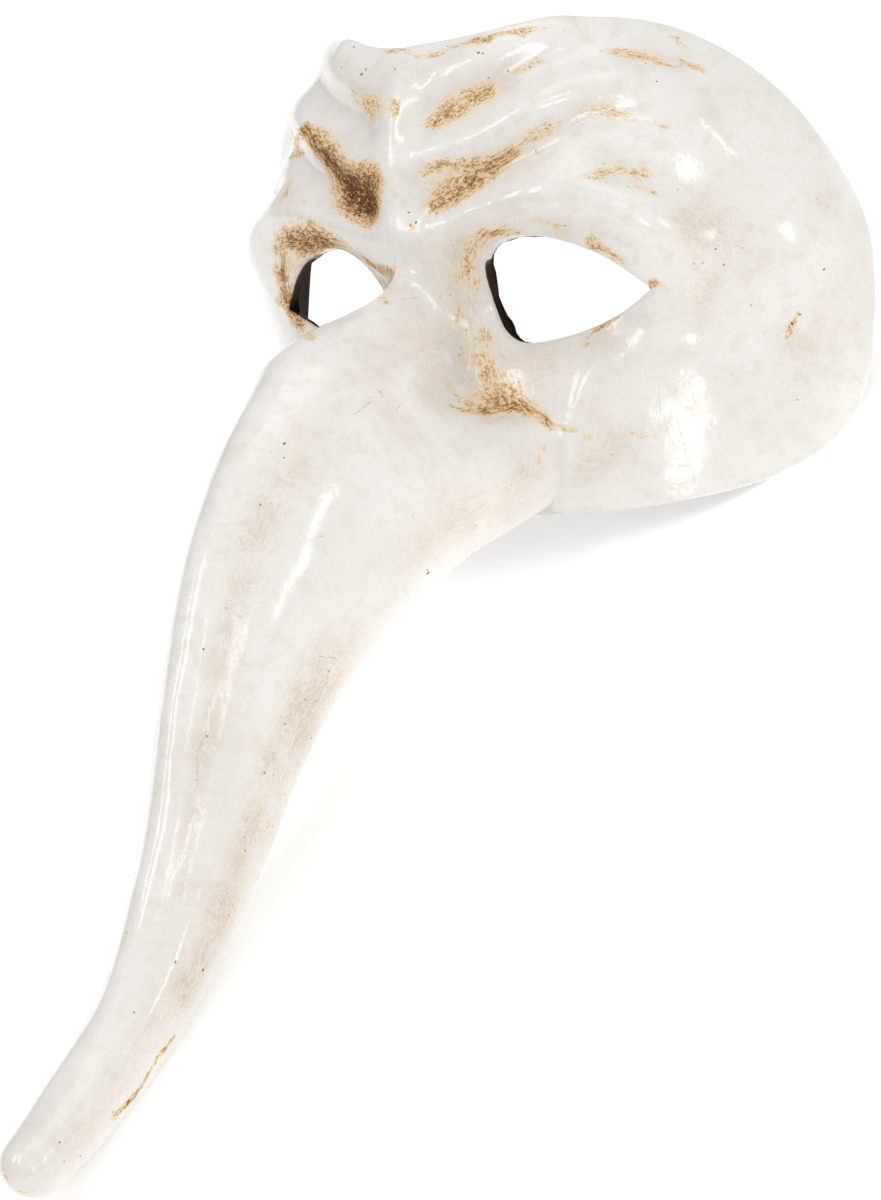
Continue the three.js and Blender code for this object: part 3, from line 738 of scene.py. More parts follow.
# Thin warm tints, as strokes of the same kind. On the right flank and edge of the nose and on its
# underside by the cheek they are partly tan film and partly painted shade; in the hollow of the temple
# they are painted shade.
TINTS_AND_SHADE = {
    "nose, under the bridge": (0.73, 1.2, [
        [(348, 392, 0.3, 4), (325, 425, 0.4, 4), (302, 455, 0.4, 4), (285, 480, 0.5, 3.4),
         (272, 500, 0.6, 3.1), (262, 522, 0.6, 2.9), (254, 545, 0.5, 2.8), (246, 575, 0.45, 2.8),
         (240, 600, 0.45, 2.7), (232, 625, 0.45, 2.5), (228, 650, 0.45, 2.3), (218, 690, 0.45, 2.1),
         (210, 720, 0.4, 1.9), (203, 750, 0.45, 1.7), (198, 780, 0.45, 1.5), (192, 810, 0.4, 1.4),
         (186, 850, 0.35, 1.5), (178, 900, 0.25, 1.7)],
    ]),
    # Partly tan film and partly painted shade, on the flank of the nose that is turned from the light.
    "right flank of the nose, tan film and painted shade": (0.65, 1.2, [
        [(340, 632, 0.45, 3.6), (322, 655, 0.6, 3.2), (305, 680, 0.65, 3), (292, 702, 0.7, 2.8),
         (280, 730, 0.6, 2.6), (270, 760, 0.6, 2.4), (262, 785, 0.7, 2.2), (252, 815, 0.65, 2.2),
         (244, 840, 0.6, 2.2), (236, 870, 0.55, 2.2), (226, 900, 0.55, 2.2), (212, 935, 0.6, 2.4),
         (198, 965, 0.6, 2.4), (180, 1000, 0.55, 2.6), (165, 1020, 0.45, 2.7), (140, 1055, 0.5, 2.7),
         (120, 1085, 0.4, 2.7), (95, 1120, 0.4, 2.7), (70, 1150, 0.4, 2.7)],
    ]),
    # Partly warm tint and partly painted shade, under the cheek where the nose meets it.
    "underside of the nose by the cheek, tint and painted shade": (1, 1.2, [
        [(390, 585, 0.4, 3.5), (410, 560, 0.3, 4), (430, 532, 0.35, 4), (468, 518, 0.4, 4),
         (500, 500, 0.45, 4), (525, 480, 0.5, 3.4), (538, 455, 0.5, 2.2)],
        [(360, 640, 0.3, 4), (330, 690, 0.3, 3.5), (300, 740, 0.35, 3)],
    ]),
    # Partly tan film and partly painted shade, darkening the nose's right edge.
    "nose's right edge, tan film and painted shade": (1, 1, [
        [(352, 645, 0.34, 3.2), (325, 690, 0.34, 3.2), (303, 740, 0.34, 3.2), (282, 790, 0.34, 3.2),
         (262, 838, 0.34, 3.2), (222, 925, 0.34, 3.2), (172, 1000, 0.34, 3.2)],
        [(340, 640, 0.17, 3.4), (300, 712, 0.17, 3.4), (266, 795, 0.17, 3.4), (226, 880, 0.17, 3.4),
         (205, 920, 0.17, 3.4)],
    ]),
    "beside the root of the nose": (1, 1.1, [
        [(520, 230, 0.3, 2.5), (480, 236, 0.5, 3), (462, 262, 0.6, 3.4), (455, 290, 0.55, 3.6),
         (462, 320, 0.6, 3.6), (478, 348, 0.6, 4), (495, 378, 0.7, 4.2), (510, 392, 0.5, 4)],
    ]),
    "round the near eye and the crease": (1, 1, [
        [(440, 340, 0.35, 3.5), (425, 362, 0.35, 3.5), (432, 385, 0.3, 3.5)],
        [(540, 365, 0.3, 4.5), (565, 350, 0.2, 4.5), (530, 395, 0.35, 3.5)],
        [(600, 240, 0.3, 2.6), (575, 232, 0.25, 2.6), (545, 226, 0.25, 2.6)],
        [(605, 328, 0.3, 2.6), (585, 342, 0.3, 2.6)],
        [(475, 418, 0.5, 2), (500, 415, 0.45, 2), (530, 422, 0.3, 2)],
    ]),
    "grooves, near side": (1, 1, [
        [(430, 192, 0.45, 3.4), (458, 180, 0.5, 3.6), (488, 168, 0.4, 2.6), (515, 150, 0.35, 2),
         (545, 132, 0.35, 2.2), (575, 120, 0.25, 2.2), (610, 112, 0.25, 2.2)],
        [(440, 116, 0.4, 2.8), (465, 104, 0.4, 3), (488, 92, 0.4, 2.4), (520, 68, 0.3, 2)],
        [(595, 176, 0.35, 2.4), (625, 173, 0.35, 2.4), (650, 178, 0.3, 2.2), (640, 190, 0.25, 2)],
        [(620, 54, 0.3, 2.2), (650, 60, 0.35, 2.2), (685, 64, 0.35, 2.2)],
    ]),
    "grooves and eye, far side": (1, 1, [
        [(315, 145, 0.5, 3), (345, 182, 0.6, 4), (370, 195, 0.5, 3.5)],
        [(375, 105, 0.4, 3.4), (355, 100, 0.35, 3.4)],
        [(285, 260, 0.6, 3.6), (300, 238, 0.6, 3.6), (330, 238, 0.4, 3), (288, 305, 0.6, 3),
         (300, 330, 0.5, 2.6)],
        [(385, 275, 0.5, 2.6), (392, 290, 0.45, 2.6), (386, 300, 0.4, 2.4)],
        [(287, 195, 0.4, 3), (295, 205, 0.3, 3)],
        [(330, 60, 0.25, 3), (318, 80, 0.35, 2.2)],
    ]),
    "cheek rim": (0.5, 1.1, [
        [(845, 255, 0.4, 5), (843, 290, 0.5, 6), (850, 320, 0.45, 5)],
        [(826, 205, 0.35, 2.6), (815, 180, 0.2, 2.6)],
        [(800, 350, 0.4, 5), (788, 372, 0.45, 4.5), (812, 318, 0.35, 4.5)],
        [(750, 105, 0.2, 4), (745, 88, 0.3, 3)],
    ]),
    # Painted shade: a grey tint in the hollow of the temple, where the relief falls away from the light.
    "temple hollow, painted shade": (0.8, 1.5, [
        [(722, 262, 0.35, 4), (710, 228, 0.35, 4), (700, 195, 0.25, 5), (735, 280, 0.25, 4)],
        [(688, 225, 0.25, 3)],
        [(690, 292, 0.35, 3.2), (705, 300, 0.25, 3)],
    ]),
    "bridge of the nose and lower cheek": (1, 1, [
        [(350, 375, 0.3, 4), (385, 390, 0.25, 4), (410, 420, 0.2, 5), (400, 460, 0.2, 5)],
        [(600, 440, 0.25, 3), (640, 436, 0.25, 3), (575, 470, 0.25, 3), (600, 475, 0.2, 3)],
    ]),
}

# Dark specks, as (across, down, size).
SPOTS = [
    (409, 212, 0.45), (411, 226, 0.5), (415, 223, 0.55), (354, 46, 0.5), (363, 75, 0.7), (366, 70, 0.5),
    (284, 445, 0.7), (286, 455, 0.45), (204, 646, 0.55), (426, 573, 0.8), (429, 569, 0.6), (207, 966, 0.6),
    (175, 963, 0.55), (659, 82, 0.4), (715, 246, 0.45), (722, 261, 0.45), (749, 305, 0.5), (697, 267, 0.4),
    (801, 315, 0.55), (793, 326, 0.7), (823, 268, 0.5), (799, 401, 0.4), (481, 52, 0.6), (478, 53, 0.5),
    (61, 1141, 0.5), (83, 1155, 0.45), (272, 826, 0.4), (127, 931, 0.4),
]

# Hairline cracks, as points (across, down).
CRACKS = [
    [(211, 722), (197, 752), (196, 790)],
    [(302, 541), (312, 538), (322, 536)],
    [(140, 753), (163, 753), (182, 752)],
    [(415, 298), (400, 299)],
    [(425, 295), (418, 299)],
    [(677, 420), (689, 468), (695, 485)],
    [(659, 385), (660, 412)],
    [(397, 409), (404, 402)],
    [(350, 418), (362, 408), (372, 398)],
    [(320, 656), (335, 660)],
]


class SeenSkin:
    """The side of the outer skin that the camera sees."""

    def __init__(self, points, normals):
        self.points = points[normals @ TOWARDS_EYE > EDGE_ON]
        offset = self.points - AIM
        self.depth = EYE_DISTANCE - offset @ TOWARDS_EYE
        scale = LENS / SENSOR * FRAME_HEIGHT / self.depth
        in_frame = np.stack([offset @ FRAME_RIGHT, -offset[:, 1]], 1) * scale[:, None]
        self.in_frame = in_frame + FRAME_CENTRE

    def at(self, place):
        """The point nearest to a place of the frame, on the layer nearest to the camera."""
        square = ((self.in_frame - place) ** 2).sum(1)
        close = np.nonzero(square < max(NEAR_PLACE ** 2, 1.5 * square.min()))[0]
        front = close[self.depth[close] < self.depth[close].min() + LAYER_DEPTH]
        return self.points[front[np.argmin(square[front])]]

    def strokes(self, groups):
        """Strokes as arrays of (x, y, z, strength, radius)."""
        return [
            np.array([(*self.at((across, down)), strength * more, radius * wider)
                      for across, down, strength, radius in stroke])
            for more, wider, strokes in groups.values() for stroke in strokes
        ]


def with_twins(tables):
    """Adds strokes to the far half where the photograph doesn't show it."""
    twins = []
    for table in tables:
        x, y = table[:, 0].mean(), table[:, 1].mean()
        if x > MIDDLE and (y < OWN_UP or x > OWN_OUT):
            twins.append(table * [-1, 1, 1, TWIN_STRENGTH, 1] + [0, TWIN_SHIFT, 0, 0, 0])
    return tables + twins


def stroke_points(table):
    """Dots of a stroke as (x, y, z, strength, radius), set close together."""
    steps = np.linalg.norm(np.diff(table[:, :3], axis=0), axis=1)
    lengths = np.concatenate([[0], np.cumsum(steps)])
    total = max(lengths[-1], 0.1)
    count = max(2, int(total / DOT_STEP))
    at = np.linspace(0, total, count + 1)
    dots = np.stack([np.interp(at, lengths, table[:, k]) for k in range(5)], 1)
    dots[:, 3] *= total / (count + 1) / (dots[:, 4] * math.sqrt(2 * math.pi))
    dots[:, 3] /= math.erf(total / (2 * math.sqrt(2) * dots[:, 4].mean()))
    return dots


def dot_field(points, strokes):
    """Sum of the strokes at each point, and the middle of the stroke beside it."""
    order = np.argsort(points[:, 1])
    heights = points[order, 1]
    total, share = np.zeros(len(points)), np.full(len(points), 1e-9)
    middle = np.zeros((len(points), 3))
    for x, y, z, weight, radius in np.concatenate([stroke_points(s) for s in strokes]):
        span = REACH * radius
        low, high = np.searchsorted(heights, (y - span, y + span))
        near = order[low:high]
        square = ((points[near] - (x, y, z)) ** 2).sum(1)
        near, square = near[square < span ** 2], square[square < span ** 2]
        total[near] += weight * np.exp(-square / (2 * radius ** 2))
        wide = np.exp(-square / (8 * radius ** 2))
        share[near] += wide
        middle[near] += wide[:, None] * (x, y, z)
    return total, middle / share[:, None]


class Skin:
    """One of the shell's two skins in the builder, with its eye holes cut."""

    def __init__(self, build, grid, first_face_row, grow, inner):
        self.grid, self.state = cut_holes(grid, first_face_row - 2, grow)
        self.ids = build.add(self.grid, float(inner)).reshape(self.grid.shape[:2])
        self.triangles = grid_triangles(self.ids, self.state, self.grid.reshape(-1, 3), inner)
        build.triangles.append(self.triangles)

    def hole_ring(self, points, side):
        """The points round one eye hole and their shares of the way round it."""
        on = set(self.ids.ravel()[self.state.ravel() == 0].tolist())
        return rising(hole_loop(self.triangles, on, points, side), points, side)


def add_cap(build, tip, first, second, inner):
    """Triangles from the tip to each pair of neighbours in a ring."""
    pole = build.add(tip, inner)[0]
    build.triangles.append(np.stack([np.full(len(first), pole), first, second], 1))


def inner_grid():
    """Rings of the inner skin from the end of the nose's hollow to the rim."""
    nose_places = np.concatenate([[0.5, 1.0], places([INNER_NOSE_ROWS, INNER_THROAT_ROWS], 1)])
    nose_rows = [inner_sheet(inner_turns, place) for place in nose_places]
    inner_reach = np.interp(inner_turns, np.append(turns, 1), np.append(reach, reach[0]))
    outs = np.arange(1, INNER_FACE_ROWS + 1) / INNER_FACE_ROWS
    face_rows, ways = [], []
    for share in outs:
        out = share * (1 - 0.5 * WALL / inner_reach)
        face_rows.append(face_sheet(inner_turns, out, LINING_RELIEF))
        after, before, here, nearer = (
            face_sheet(inner_turns + turn_step, out - out_step, WAY_RELIEF)
            for turn_step, out_step in ((SMALL, 0), (-SMALL, 0), (0, 0), (0, SMALL))
        )
        ways.append(unit(np.cross(here - nearer, after - before)))
    ways = np.array(ways)
    near_rim = smooth(0.3, 0.8, outs)[:, None, None]
    # Towards the rim the ways are evened out, so that the lining doesn't fold.
    for _ in range(EVENING_PASSES):
        ways = unit(ways + near_rim * (np.roll(ways, 1, 1) + np.roll(ways, -1, 1)) / 2)
    grid = np.concatenate([nose_rows, np.array(face_rows) + ways * WALL])
    return grid + waves(grid, *LINING_WAVES)[..., None] * unit(np.array([0, -0.5, 1.0]))


def add_rim(build, outer, inner):
    """Half-round rim between the last rings of the two skins."""
    last = outer.grid[-1]
    inner_edge = np.stack([
        np.interp(turns, np.append(inner_turns, 1),
                  np.append(inner.grid[-1][:, k], inner.grid[-1][0, k]))
        for k in range(3)
    ], 1)
    centre = (last + inner_edge) / 2
    lift = last - centre
    forward = unit(last - outer.grid[-3])
    forward -= lift * (forward * lift).sum(1, keepdims=True) / (lift * lift).sum(1, keepdims=True)
    forward = unit(forward) * np.linalg.norm(lift, axis=1, keepdims=True)
    previous = outer.ids[-1]
    for k in range(1, RIM_ROWS):
        angle = np.pi * k / RIM_ROWS
        shape = np.cos(angle) * lift + np.sin(angle) * forward * RIM_FLATNESS
        row = build.add(centre + shape, smooth(0.6, 1.0, k / RIM_ROWS))
        build.quads(previous, np.roll(previous, -1), np.roll(row, -1), row)
        previous = row
    shares, inner_shares = (turns + 1) / 2, (inner_turns + 1) / 2
    build.triangles.append(zip_rings(previous, shares, inner.ids[-1], inner_shares, False))


def hole_rings(start, edge, bottom):
    """Rings from the outer skin down a rounded edge and a straight wall, and how far inside each is."""
    rings = []
    for k in range(1, HOLE_ROWS + 1):
        angle = math.pi / 2 * k / HOLE_ROWS
        ring = start + edge * math.sin(angle)
        ring[:, 2] -= HOLE_ROUND * (1 - math.cos(angle))
        rings.append((ring, EDGE_INSIDE * k / HOLE_ROWS))
    top = ring
    for k in range(1, HOLE_ROWS + 1):
        ring = top.copy()
        ring[:, 2] += (bottom - top[:, 2]) * (k / HOLE_ROWS) * EDGE_SHARE
        upper = smooth(5, 8.5, ring[:, 1]) * (1 - smooth(30, 44, np.abs(ring[:, 0])))
        rings.append((ring, min(1.0, 0.5 + 0.25 * k) * (1 - OVERRUN * upper)))
    return rings


def add_hole_edge(build, outer, inner, normals, side):
    """Edge of one eye hole, between the two skins."""
    points = np.concatenate(build.points)
    loop, share = outer.hole_ring(points, side)
    back, back_share = inner.hole_ring(points, side)
    start = points[loop]
    _, foot = from_outline(start[:, :2], eye_outline(side))
    normal = unit(normals.reshape(-1, 3)[loop - outer.ids[0, 0]])
    # The edge keeps to the skin's slope on its way to the outline.
    shift = (foot - start[:, :2]) * EDGE_SHARE
    fall = -(normal[:, :2] * shift).sum(1) / np.maximum(normal[:, 2], STEEPEST)
    edge = np.column_stack([shift, np.clip(fall, -MOST_FALL, MOST_FALL)])
    nearest = [np.argmin(((points[back][:, :2] - p[:2]) ** 2).sum(1)) for p in start]
    previous = loop
    for ring, inside in hole_rings(start, edge, points[back][nearest][:, 2]):
        row = build.add(ring, inside)
        if side < 0:
            build.quads(np.roll(previous, -1), previous, row, np.roll(row, -1))
        else:
            build.quads(previous, np.roll(previous, -1), np.roll(row, -1), row)
        previous = row
    build.triangles.append(zip_rings(previous, share, back, back_share, side < 0))


def in_row(points):
    """Points of the face frame, placed in the row frame in metres."""
    return (np.asarray(points, float) @ LIE_MATRIX.T + LIE_AT) / 1000


def shell_mesh(points, triangles, values, flow):
    """The mesh in the row frame, with the values of each point and without unused points."""
    placed = in_row(points)
    placed[:, 2] = np.maximum(placed[:, 2], 0)
    used = np.zeros(len(points), bool)
    used[triangles.ravel()] = True
    renumber = np.cumsum(used) - 1
    mesh = bpy.data.meshes.new("mask_shell")
    mesh.from_pydata(placed[used].tolist(), [], renumber[triangles].tolist())
    mesh.validate()
    outward = bmesh.new()
    outward.from_mesh(mesh)
    bmesh.ops.recalc_face_normals(outward, faces=outward.faces)
    outward.to_mesh(mesh)
    outward.free()
    for name, value in values.items():
        layer = mesh.attributes.new(name, "FLOAT", "POINT")
        layer.data.foreach_set("value", value[used].astype(np.float32))
    layer = mesh.attributes.new("flow", "FLOAT_VECTOR", "POINT")
    layer.data.foreach_set("vector", (flow[used] / 1000).ravel().astype(np.float32))
    mesh.update()
    mesh.polygons.foreach_set("use_smooth", [True] * len(mesh.polygons))
    corners = np.empty(len(mesh.polygons) * 3, np.int32)
    mesh.polygons.foreach_get("vertices", corners)
    # Faces whose corners all lie inside take the lining's slot.
    lined = (values["inside"][used][corners.reshape(-1, 3)] > LINED).all(1)
    mesh.polygons.foreach_set("material_index", lined.astype(np.int32))
    return mesh


def add_object(name, data):
    made = bpy.data.objects.new(name, data)
    bpy.context.scene.collection.objects.link(made)
    return made


# The shell: two skins, the cap at the tip of each, the rim and the edges of the eye holes.
build = Builder()
outer = Skin(build, outer_grid(), TIP_ROWS + NOSE_ROWS + THROAT_ROWS, HOLE_ROUND, False)
normals = outward_normals(outer.grid)
seen = SeenSkin(outer.grid.reshape(-1, 3), normals.reshape(-1, 3))
first_ring = outer.ids[0]
add_cap(build, tip_sheet(np.array([0.0]), 0.0), np.roll(first_ring, -1), first_ring, 0.0)
inner = Skin(build, inner_grid(), 2 + INNER_NOSE_ROWS + INNER_THROAT_ROWS, 0.0, True)
first_ring = inner.ids[0]
hollow_end = inner.grid[0].mean(0)
add_cap(build, hollow_end + unit(hollow_end - inner.grid[3].mean(0)) * 1.5, first_ring,
        np.roll(first_ring, -1), 1.0)
add_rim(build, outer, inner)
for side in (1, -1):
    add_hole_edge(build, outer, inner, normals, side)

# Wash, tints with their painted shade, and flow of each point.
points = np.concatenate(build.points)
inside = np.concatenate(build.inner)
wash, stroke_middle = dot_field(points, with_twins(seen.strokes(WASH)))
tint, _ = dot_field(points, with_twins(seen.strokes(TINTS_AND_SHADE)))
mesh = shell_mesh(points, np.concatenate(build.triangles),
                  {"wash": wash, "tint": tint, "inside": inside}, points - FLOW_SHARE * stroke_middle)
shell = add_object("mask_shell", mesh)


# Materials.
def linear(r, g, b):
    """A colour given in 0 to 255 as it is seen."""
    values = [v / 255 for v in (r, g, b)]
    return tuple(v / 12.92 if v <= 0.04045 else ((v + 0.055) / 1.055) ** 2.4 for v in values) + (1,)


class Nodes:
    """Short names for building a node tree."""

    def __init__(self, owner):
        owner.use_nodes = True
        self.tree = owner.node_tree
        self.tree.nodes.clear()

    def node(self, kind, **settings):
        made = self.tree.nodes.new(kind)
        for key, value in settings.items():
            setattr(made, key, value)
        return made

    def put(self, socket, value):
        if isinstance(value, bpy.types.NodeSocket):
            self.tree.links.new(value, socket)
        elif value is not None:
            socket.default_value = value

    def fill(self, made, **values):
        """Sets or links sockets whose names are given with _ for each space."""
        for key, value in values.items():
            self.put(made.inputs[key.replace("_", " ")], value)
        return made

    def math(self, operation, a, b=None, c=None, clamp=False):
        made = self.node("ShaderNodeMath", operation=operation, use_clamp=clamp)
        for socket, value in zip(made.inputs, (a, b, c)):
            self.put(socket, value)
        return made.outputs[0]

    def times(self, a, b, clamp=False):
        return self.math("MULTIPLY", a, b, clamp=clamp)

    def times_plus(self, a, b, c):
        return self.math("MULTIPLY_ADD", a, b, c)

    def vector(self, operation, a, b=None, scale=None, out="Vector"):
        made = self.node("ShaderNodeVectorMath", operation=operation)
        self.put(made.inputs[0], a)
        self.put(made.inputs[1], b)
        if scale is not None:
            self.put(made.inputs["Scale"], scale)
        return made.outputs[out]

    def noise(self, at, scale, detail=2.0, rough=0.5, out="Fac"):
        made = self.node("ShaderNodeTexNoise")
        return self.fill(made, Vector=at, Scale=scale, Detail=detail, Roughness=rough).outputs[out]

    def cells(self, at, scale):
        """Distance from the middle of a random cell, and the cell's three random numbers."""
        cell = self.fill(self.node("ShaderNodeTexVoronoi"), Vector=at, Scale=scale)
        chances = self.fill(self.node("ShaderNodeSeparateColor"), Color=cell.outputs["Color"])
        return cell.outputs["Distance"], chances.outputs

    def attribute(self, name, out="Fac"):
        return self.node("ShaderNodeAttribute", attribute_name=name).outputs[out]

    def object_at(self):
        return self.node("ShaderNodeTexCoord").outputs["Object"]

    def least(self, values):
        values = list(values)
        result = values[0]
        for value in values[1:]:
            result = self.math("MINIMUM", result, value)
        return result

    def from_point(self, at, point):
        return self.vector("DISTANCE", at, tuple(point), out="Value")

    def from_segment(self, at, start, end):
        """Distance from the piece of line between two points."""
        way = Vector(end) - Vector(start)
        offset = self.vector("SUBTRACT", at, tuple(start))
        share = self.vector("DOT_PRODUCT", offset, tuple(way / way.length_squared), out="Value")
        share = self.math("ADD", share, 0.0, clamp=True)
        foot = self.vector("SCALE", tuple(way), scale=share)
        return self.vector("DISTANCE", offset, foot, out="Value")

    def between(self, value, low, high, to_low=0.0, to_high=1.0):
        """Smooth step from low to high."""
        made = self.node("ShaderNodeMapRange", interpolation_type="SMOOTHSTEP")
        return self.fill(made, Value=value, From_Min=low, From_Max=high,
                         To_Min=to_low, To_Max=to_high).outputs["Result"]

    def mix(self, share, a, b):
        made = self.node("ShaderNodeMix", data_type="RGBA")
        for socket, value in zip((0, 6, 7), (share, a, b)):
            self.put(made.inputs[socket], value)
        return made.outputs[2]

    def ramp(self, value, stops):
        made = self.fill(self.node("ShaderNodeValToRGB"), Fac=value)
        elements = made.color_ramp.elements
        while len(elements) < len(stops):
            elements.new(0.5)
        for element, (at, colour) in zip(elements, stops):
            element.position = at
            element.color = colour
        return made.outputs["Color"]

    def bump(self, height):
        """Normal of a surface whose height is given in metres."""
        made = self.node("ShaderNodeBump")
        return self.fill(made, Strength=1.0, Distance=1.0, Height=height).outputs["Normal"]

    def surface(self, **values):
        """Puts a principled shader on the surface."""
        shader = self.fill(self.node("ShaderNodeBsdfPrincipled"), **values)
        self.fill(self.node("ShaderNodeOutputMaterial"), Surface=shader.outputs["BSDF"])


class Lacquer:
    """White lacquer with a brown wash, as used on the outside."""

    def __init__(self, material, skin):
        self.n = n = Nodes(material)
        self.skin = skin
        self.at = n.object_at()
        flow_at = n.attribute("flow", "Vector")
        self.wash, self.tint, self.inside = (n.attribute(name) for name in ("wash", "tint", "inside"))
        self.cloud = n.noise(self.at, 22, 2, 0.6)
        self.patches = n.noise(self.at, 75, 3, 0.6)
        self.mottle = n.noise(self.at, 240, 2, 0.6)
        self.grain = n.noise(self.at, 1500, 2, 0.6)
        self.streaks = n.noise(flow_at, 1700, 2, 0.65)
        self.fine = n.noise(flow_at, 3600, 1, 0.6)
        self.wash_here = n.times(self.wash, n.between(self.mottle, 0.3, 0.7, 0.8, 1.2))

    def clean(self):
        """White, yellowed unevenly, and warm where the thin tints lie on it; on the nose's lower flank
        they are partly, and in the temple's hollow wholly, painted shade.
        """
        n = self.n
        colour = n.mix(n.between(self.cloud, 0.35, 0.68), linear(242, 240, 236), linear(234, 230, 225))
        for spread, low, high, share, warmer in (
            (self.patches, 0.5, 0.72, 0.45, linear(224, 216, 206)),
            (self.grain, 0.4, 0.75, 0.34, linear(224, 217, 207)),
            (self.mottle, 0.48, 0.7, 0.5, linear(227, 220, 211)),
        ):
            colour = n.mix(n.times(n.between(spread, low, high), share), colour, warmer)
        # The tints laid on here are partly painted shade, on the nose's lower flank and in the hollow of
        # the temple.
        thin = n.times(self.tint, n.between(self.patches, 0.25, 0.7, 0.45, 1.45))
        thin = n.times(thin, n.between(self.streaks, 0.38, 0.64, 0.55, 1.35), clamp=True)
        return n.mix(thin, colour, linear(214, 197, 177))

    def freckled(self, colour):
        """Small brown freckles, closer together where the wash or the tints, some of them painted shade,
        lie.
        """
        n = self.n
        distance, chances = n.cells(self.at, 800)
        wash_tint_and_shade = n.math("ADD", self.tint, n.times(self.wash, 2.0), clamp=True)
        likely = n.times_plus(n.between(self.patches, 0.45, 0.75), 0.06, -0.965)
        likely = n.times_plus(wash_tint_and_shade, 0.16, likely)
        size = n.between(n.math("ADD", chances[0], likely), 0.0, 0.12, 0.0, 0.27)
        freckle = n.between(n.math("SUBTRACT", distance, size), -0.07, 0.02, 1.0, 0.0)
        strength = n.between(chances[1], 0.0, 1.0, 0.25, 0.85)
        return n.mix(n.times(freckle, strength), colour, linear(124, 88, 54))

    def wash_depth(self):
        """A tan film under darker streaks and grains, which breaks up where it is thin."""
        n = self.n
        film = n.math("SUBTRACT", 1.0, n.math("EXPONENT", n.times(self.wash_here, -0.8)))
        present = n.between(self.wash_here, 0.03, 0.5)
        strands = n.times_plus(self.fine, 0.4, n.times(self.streaks, 0.6))
        strands = n.between(n.times_plus(film, 0.14, strands), 0.5, 0.65)
        grains = n.between(n.times_plus(film, 0.12, self.grain), 0.62, 0.7)
        depth = n.times(n.times(film, n.times_plus(film, 0.5, 0.2)), present)
        depth = n.times_plus(n.times(strands, present), n.times_plus(film, 0.42, 0.18), depth)
        return n.times_plus(n.times(grains, present), 0.25, depth)

    def washed(self, colour, depth):
        """The wash over the lacquer, from straw where it is thin to dark brown."""
        stain = self.n.ramp(depth, [
            (0.0, linear(242, 230, 210)),
            (0.2, linear(235, 214, 182)),
            (0.45, linear(212, 177, 130)),
            (0.7, linear(170, 123, 68)),
            (1.0, linear(90, 53, 20)),
        ])
        return self.n.mix(self.n.between(depth, 0.0, 0.2), colour, stain)

    def marked(self, colour):
        """Pinholes, hairline cracks and dark specks, with bent outlines."""
        n, skin = self.n, self.skin
        wander = n.vector("SUBTRACT", n.noise(self.at, 900, 2, out="Color"), (0.5, 0.5, 0.5))
        bent = n.vector("ADD", self.at, n.vector("SCALE", wander, scale=0.0009))
        distance, chances = n.cells(self.at, 150)
        size = n.times(n.math("POWER", chances[0], 4.0), 0.055)
        pin = n.between(n.math("SUBTRACT", distance, size), -0.01, 0.006, 1.0, 0.0)
        crack = n.least(
            n.from_segment(bent, in_row(skin.at(start)), in_row(skin.at(end)))
            for stroke in CRACKS for start, end in zip(stroke, stroke[1:])
        )
        crack = n.between(crack, CRACK_CORE, CRACK_END, 1.0, 0.0)
        speck = n.least(
            n.math("DIVIDE", n.from_point(bent, in_row(skin.at(place))), size / SPECK_SCALE)
            for *place, size in SPOTS
        )
        colour = n.mix(n.times(pin, 0.7), colour, linear(128, 96, 66))
        colour = n.mix(n.times(crack, 0.4), colour, linear(128, 98, 70))
        return n.mix(n.between(speck, 0.6, 1.3, 0.9, 0.0), colour, linear(62, 36, 16))

    def lined(self, colour):
        """Dark paint of the lining, with a ragged edge."""
        n = self.n
        ragged = n.times_plus(n.math("SUBTRACT", n.noise(self.at, 600, 3), 0.5), 0.5, self.inside)
        return n.mix(n.between(ragged, 0.3, 0.42), colour, linear(30, 16, 8))

    def height(self):
        """Height in metres: an uneven skin, finely grained, and shallow streaks in the wash."""
        n = self.n
        amount = n.between(n.noise(self.at, 26, 2), 0.35, 0.65, 0.4, 1.0)
        height = n.times(n.times(n.noise(self.at, 260, 3, 0.55), amount), UNEVEN_HEIGHT)
        height = n.times_plus(n.noise(self.at, 950, 2, 0.6), GRAIN_HEIGHT, height)
        return n.times_plus(self.streaks, n.times(self.wash_here, -STREAK_DEPTH), height)

    def paint(self):
        """Puts it all on the surface. The coat is dull where the wash lies."""
        n = self.n
        depth = self.wash_depth()
        colour = self.lined(self.marked(self.washed(self.freckled(self.clean()), depth)))
        rough = n.times_plus(n.between(depth, 0.05, 0.5), 0.3, 0.28)
        normal = n.bump(self.height())
        n.surface(Base_Color=colour, Roughness=n.times_plus(self.patches, 0.1, rough),
                  Normal=normal, Coat_Normal=normal,
                  Coat_Weight=n.between(depth, 0.03, 0.4, 0.9, 0.05),
                  Coat_Roughness=0.13, Specular_IOR_Level=0.25)


def paint_lining(material):
    """Dark matt paint over overlapping paper strips."""
    n = Nodes(material)
    at = n.object_at()
    worn = n.between(n.noise(at, 60, 4, 0.6), 0.5, 0.72)
    colour = n.mix(n.noise(at, 130, 4, 0.6), linear(26, 15, 9), linear(54, 35, 21))
    colour = n.mix(n.times(worn, 0.4), colour, linear(96, 72, 50))
    bent = n.vector("ADD", at, n.vector("SCALE", n.noise(at, 30, 2, out="Color"), scale=0.006))
    _, layers = n.cells(n.vector("MULTIPLY", bent, (1.0, 0.4, 1.0)), 75)
    paper = n.times(layers[0], PAPER_HEIGHT)
    height = n.times_plus(n.noise(at, 420, 4, 0.6), FIBRE_HEIGHT, paper)
    n.surface(Base_Color=colour, Roughness=n.between(worn, 0.0, 1.0, 0.62, 0.8),
              Normal=n.bump(height), Specular_IOR_Level=0.15)


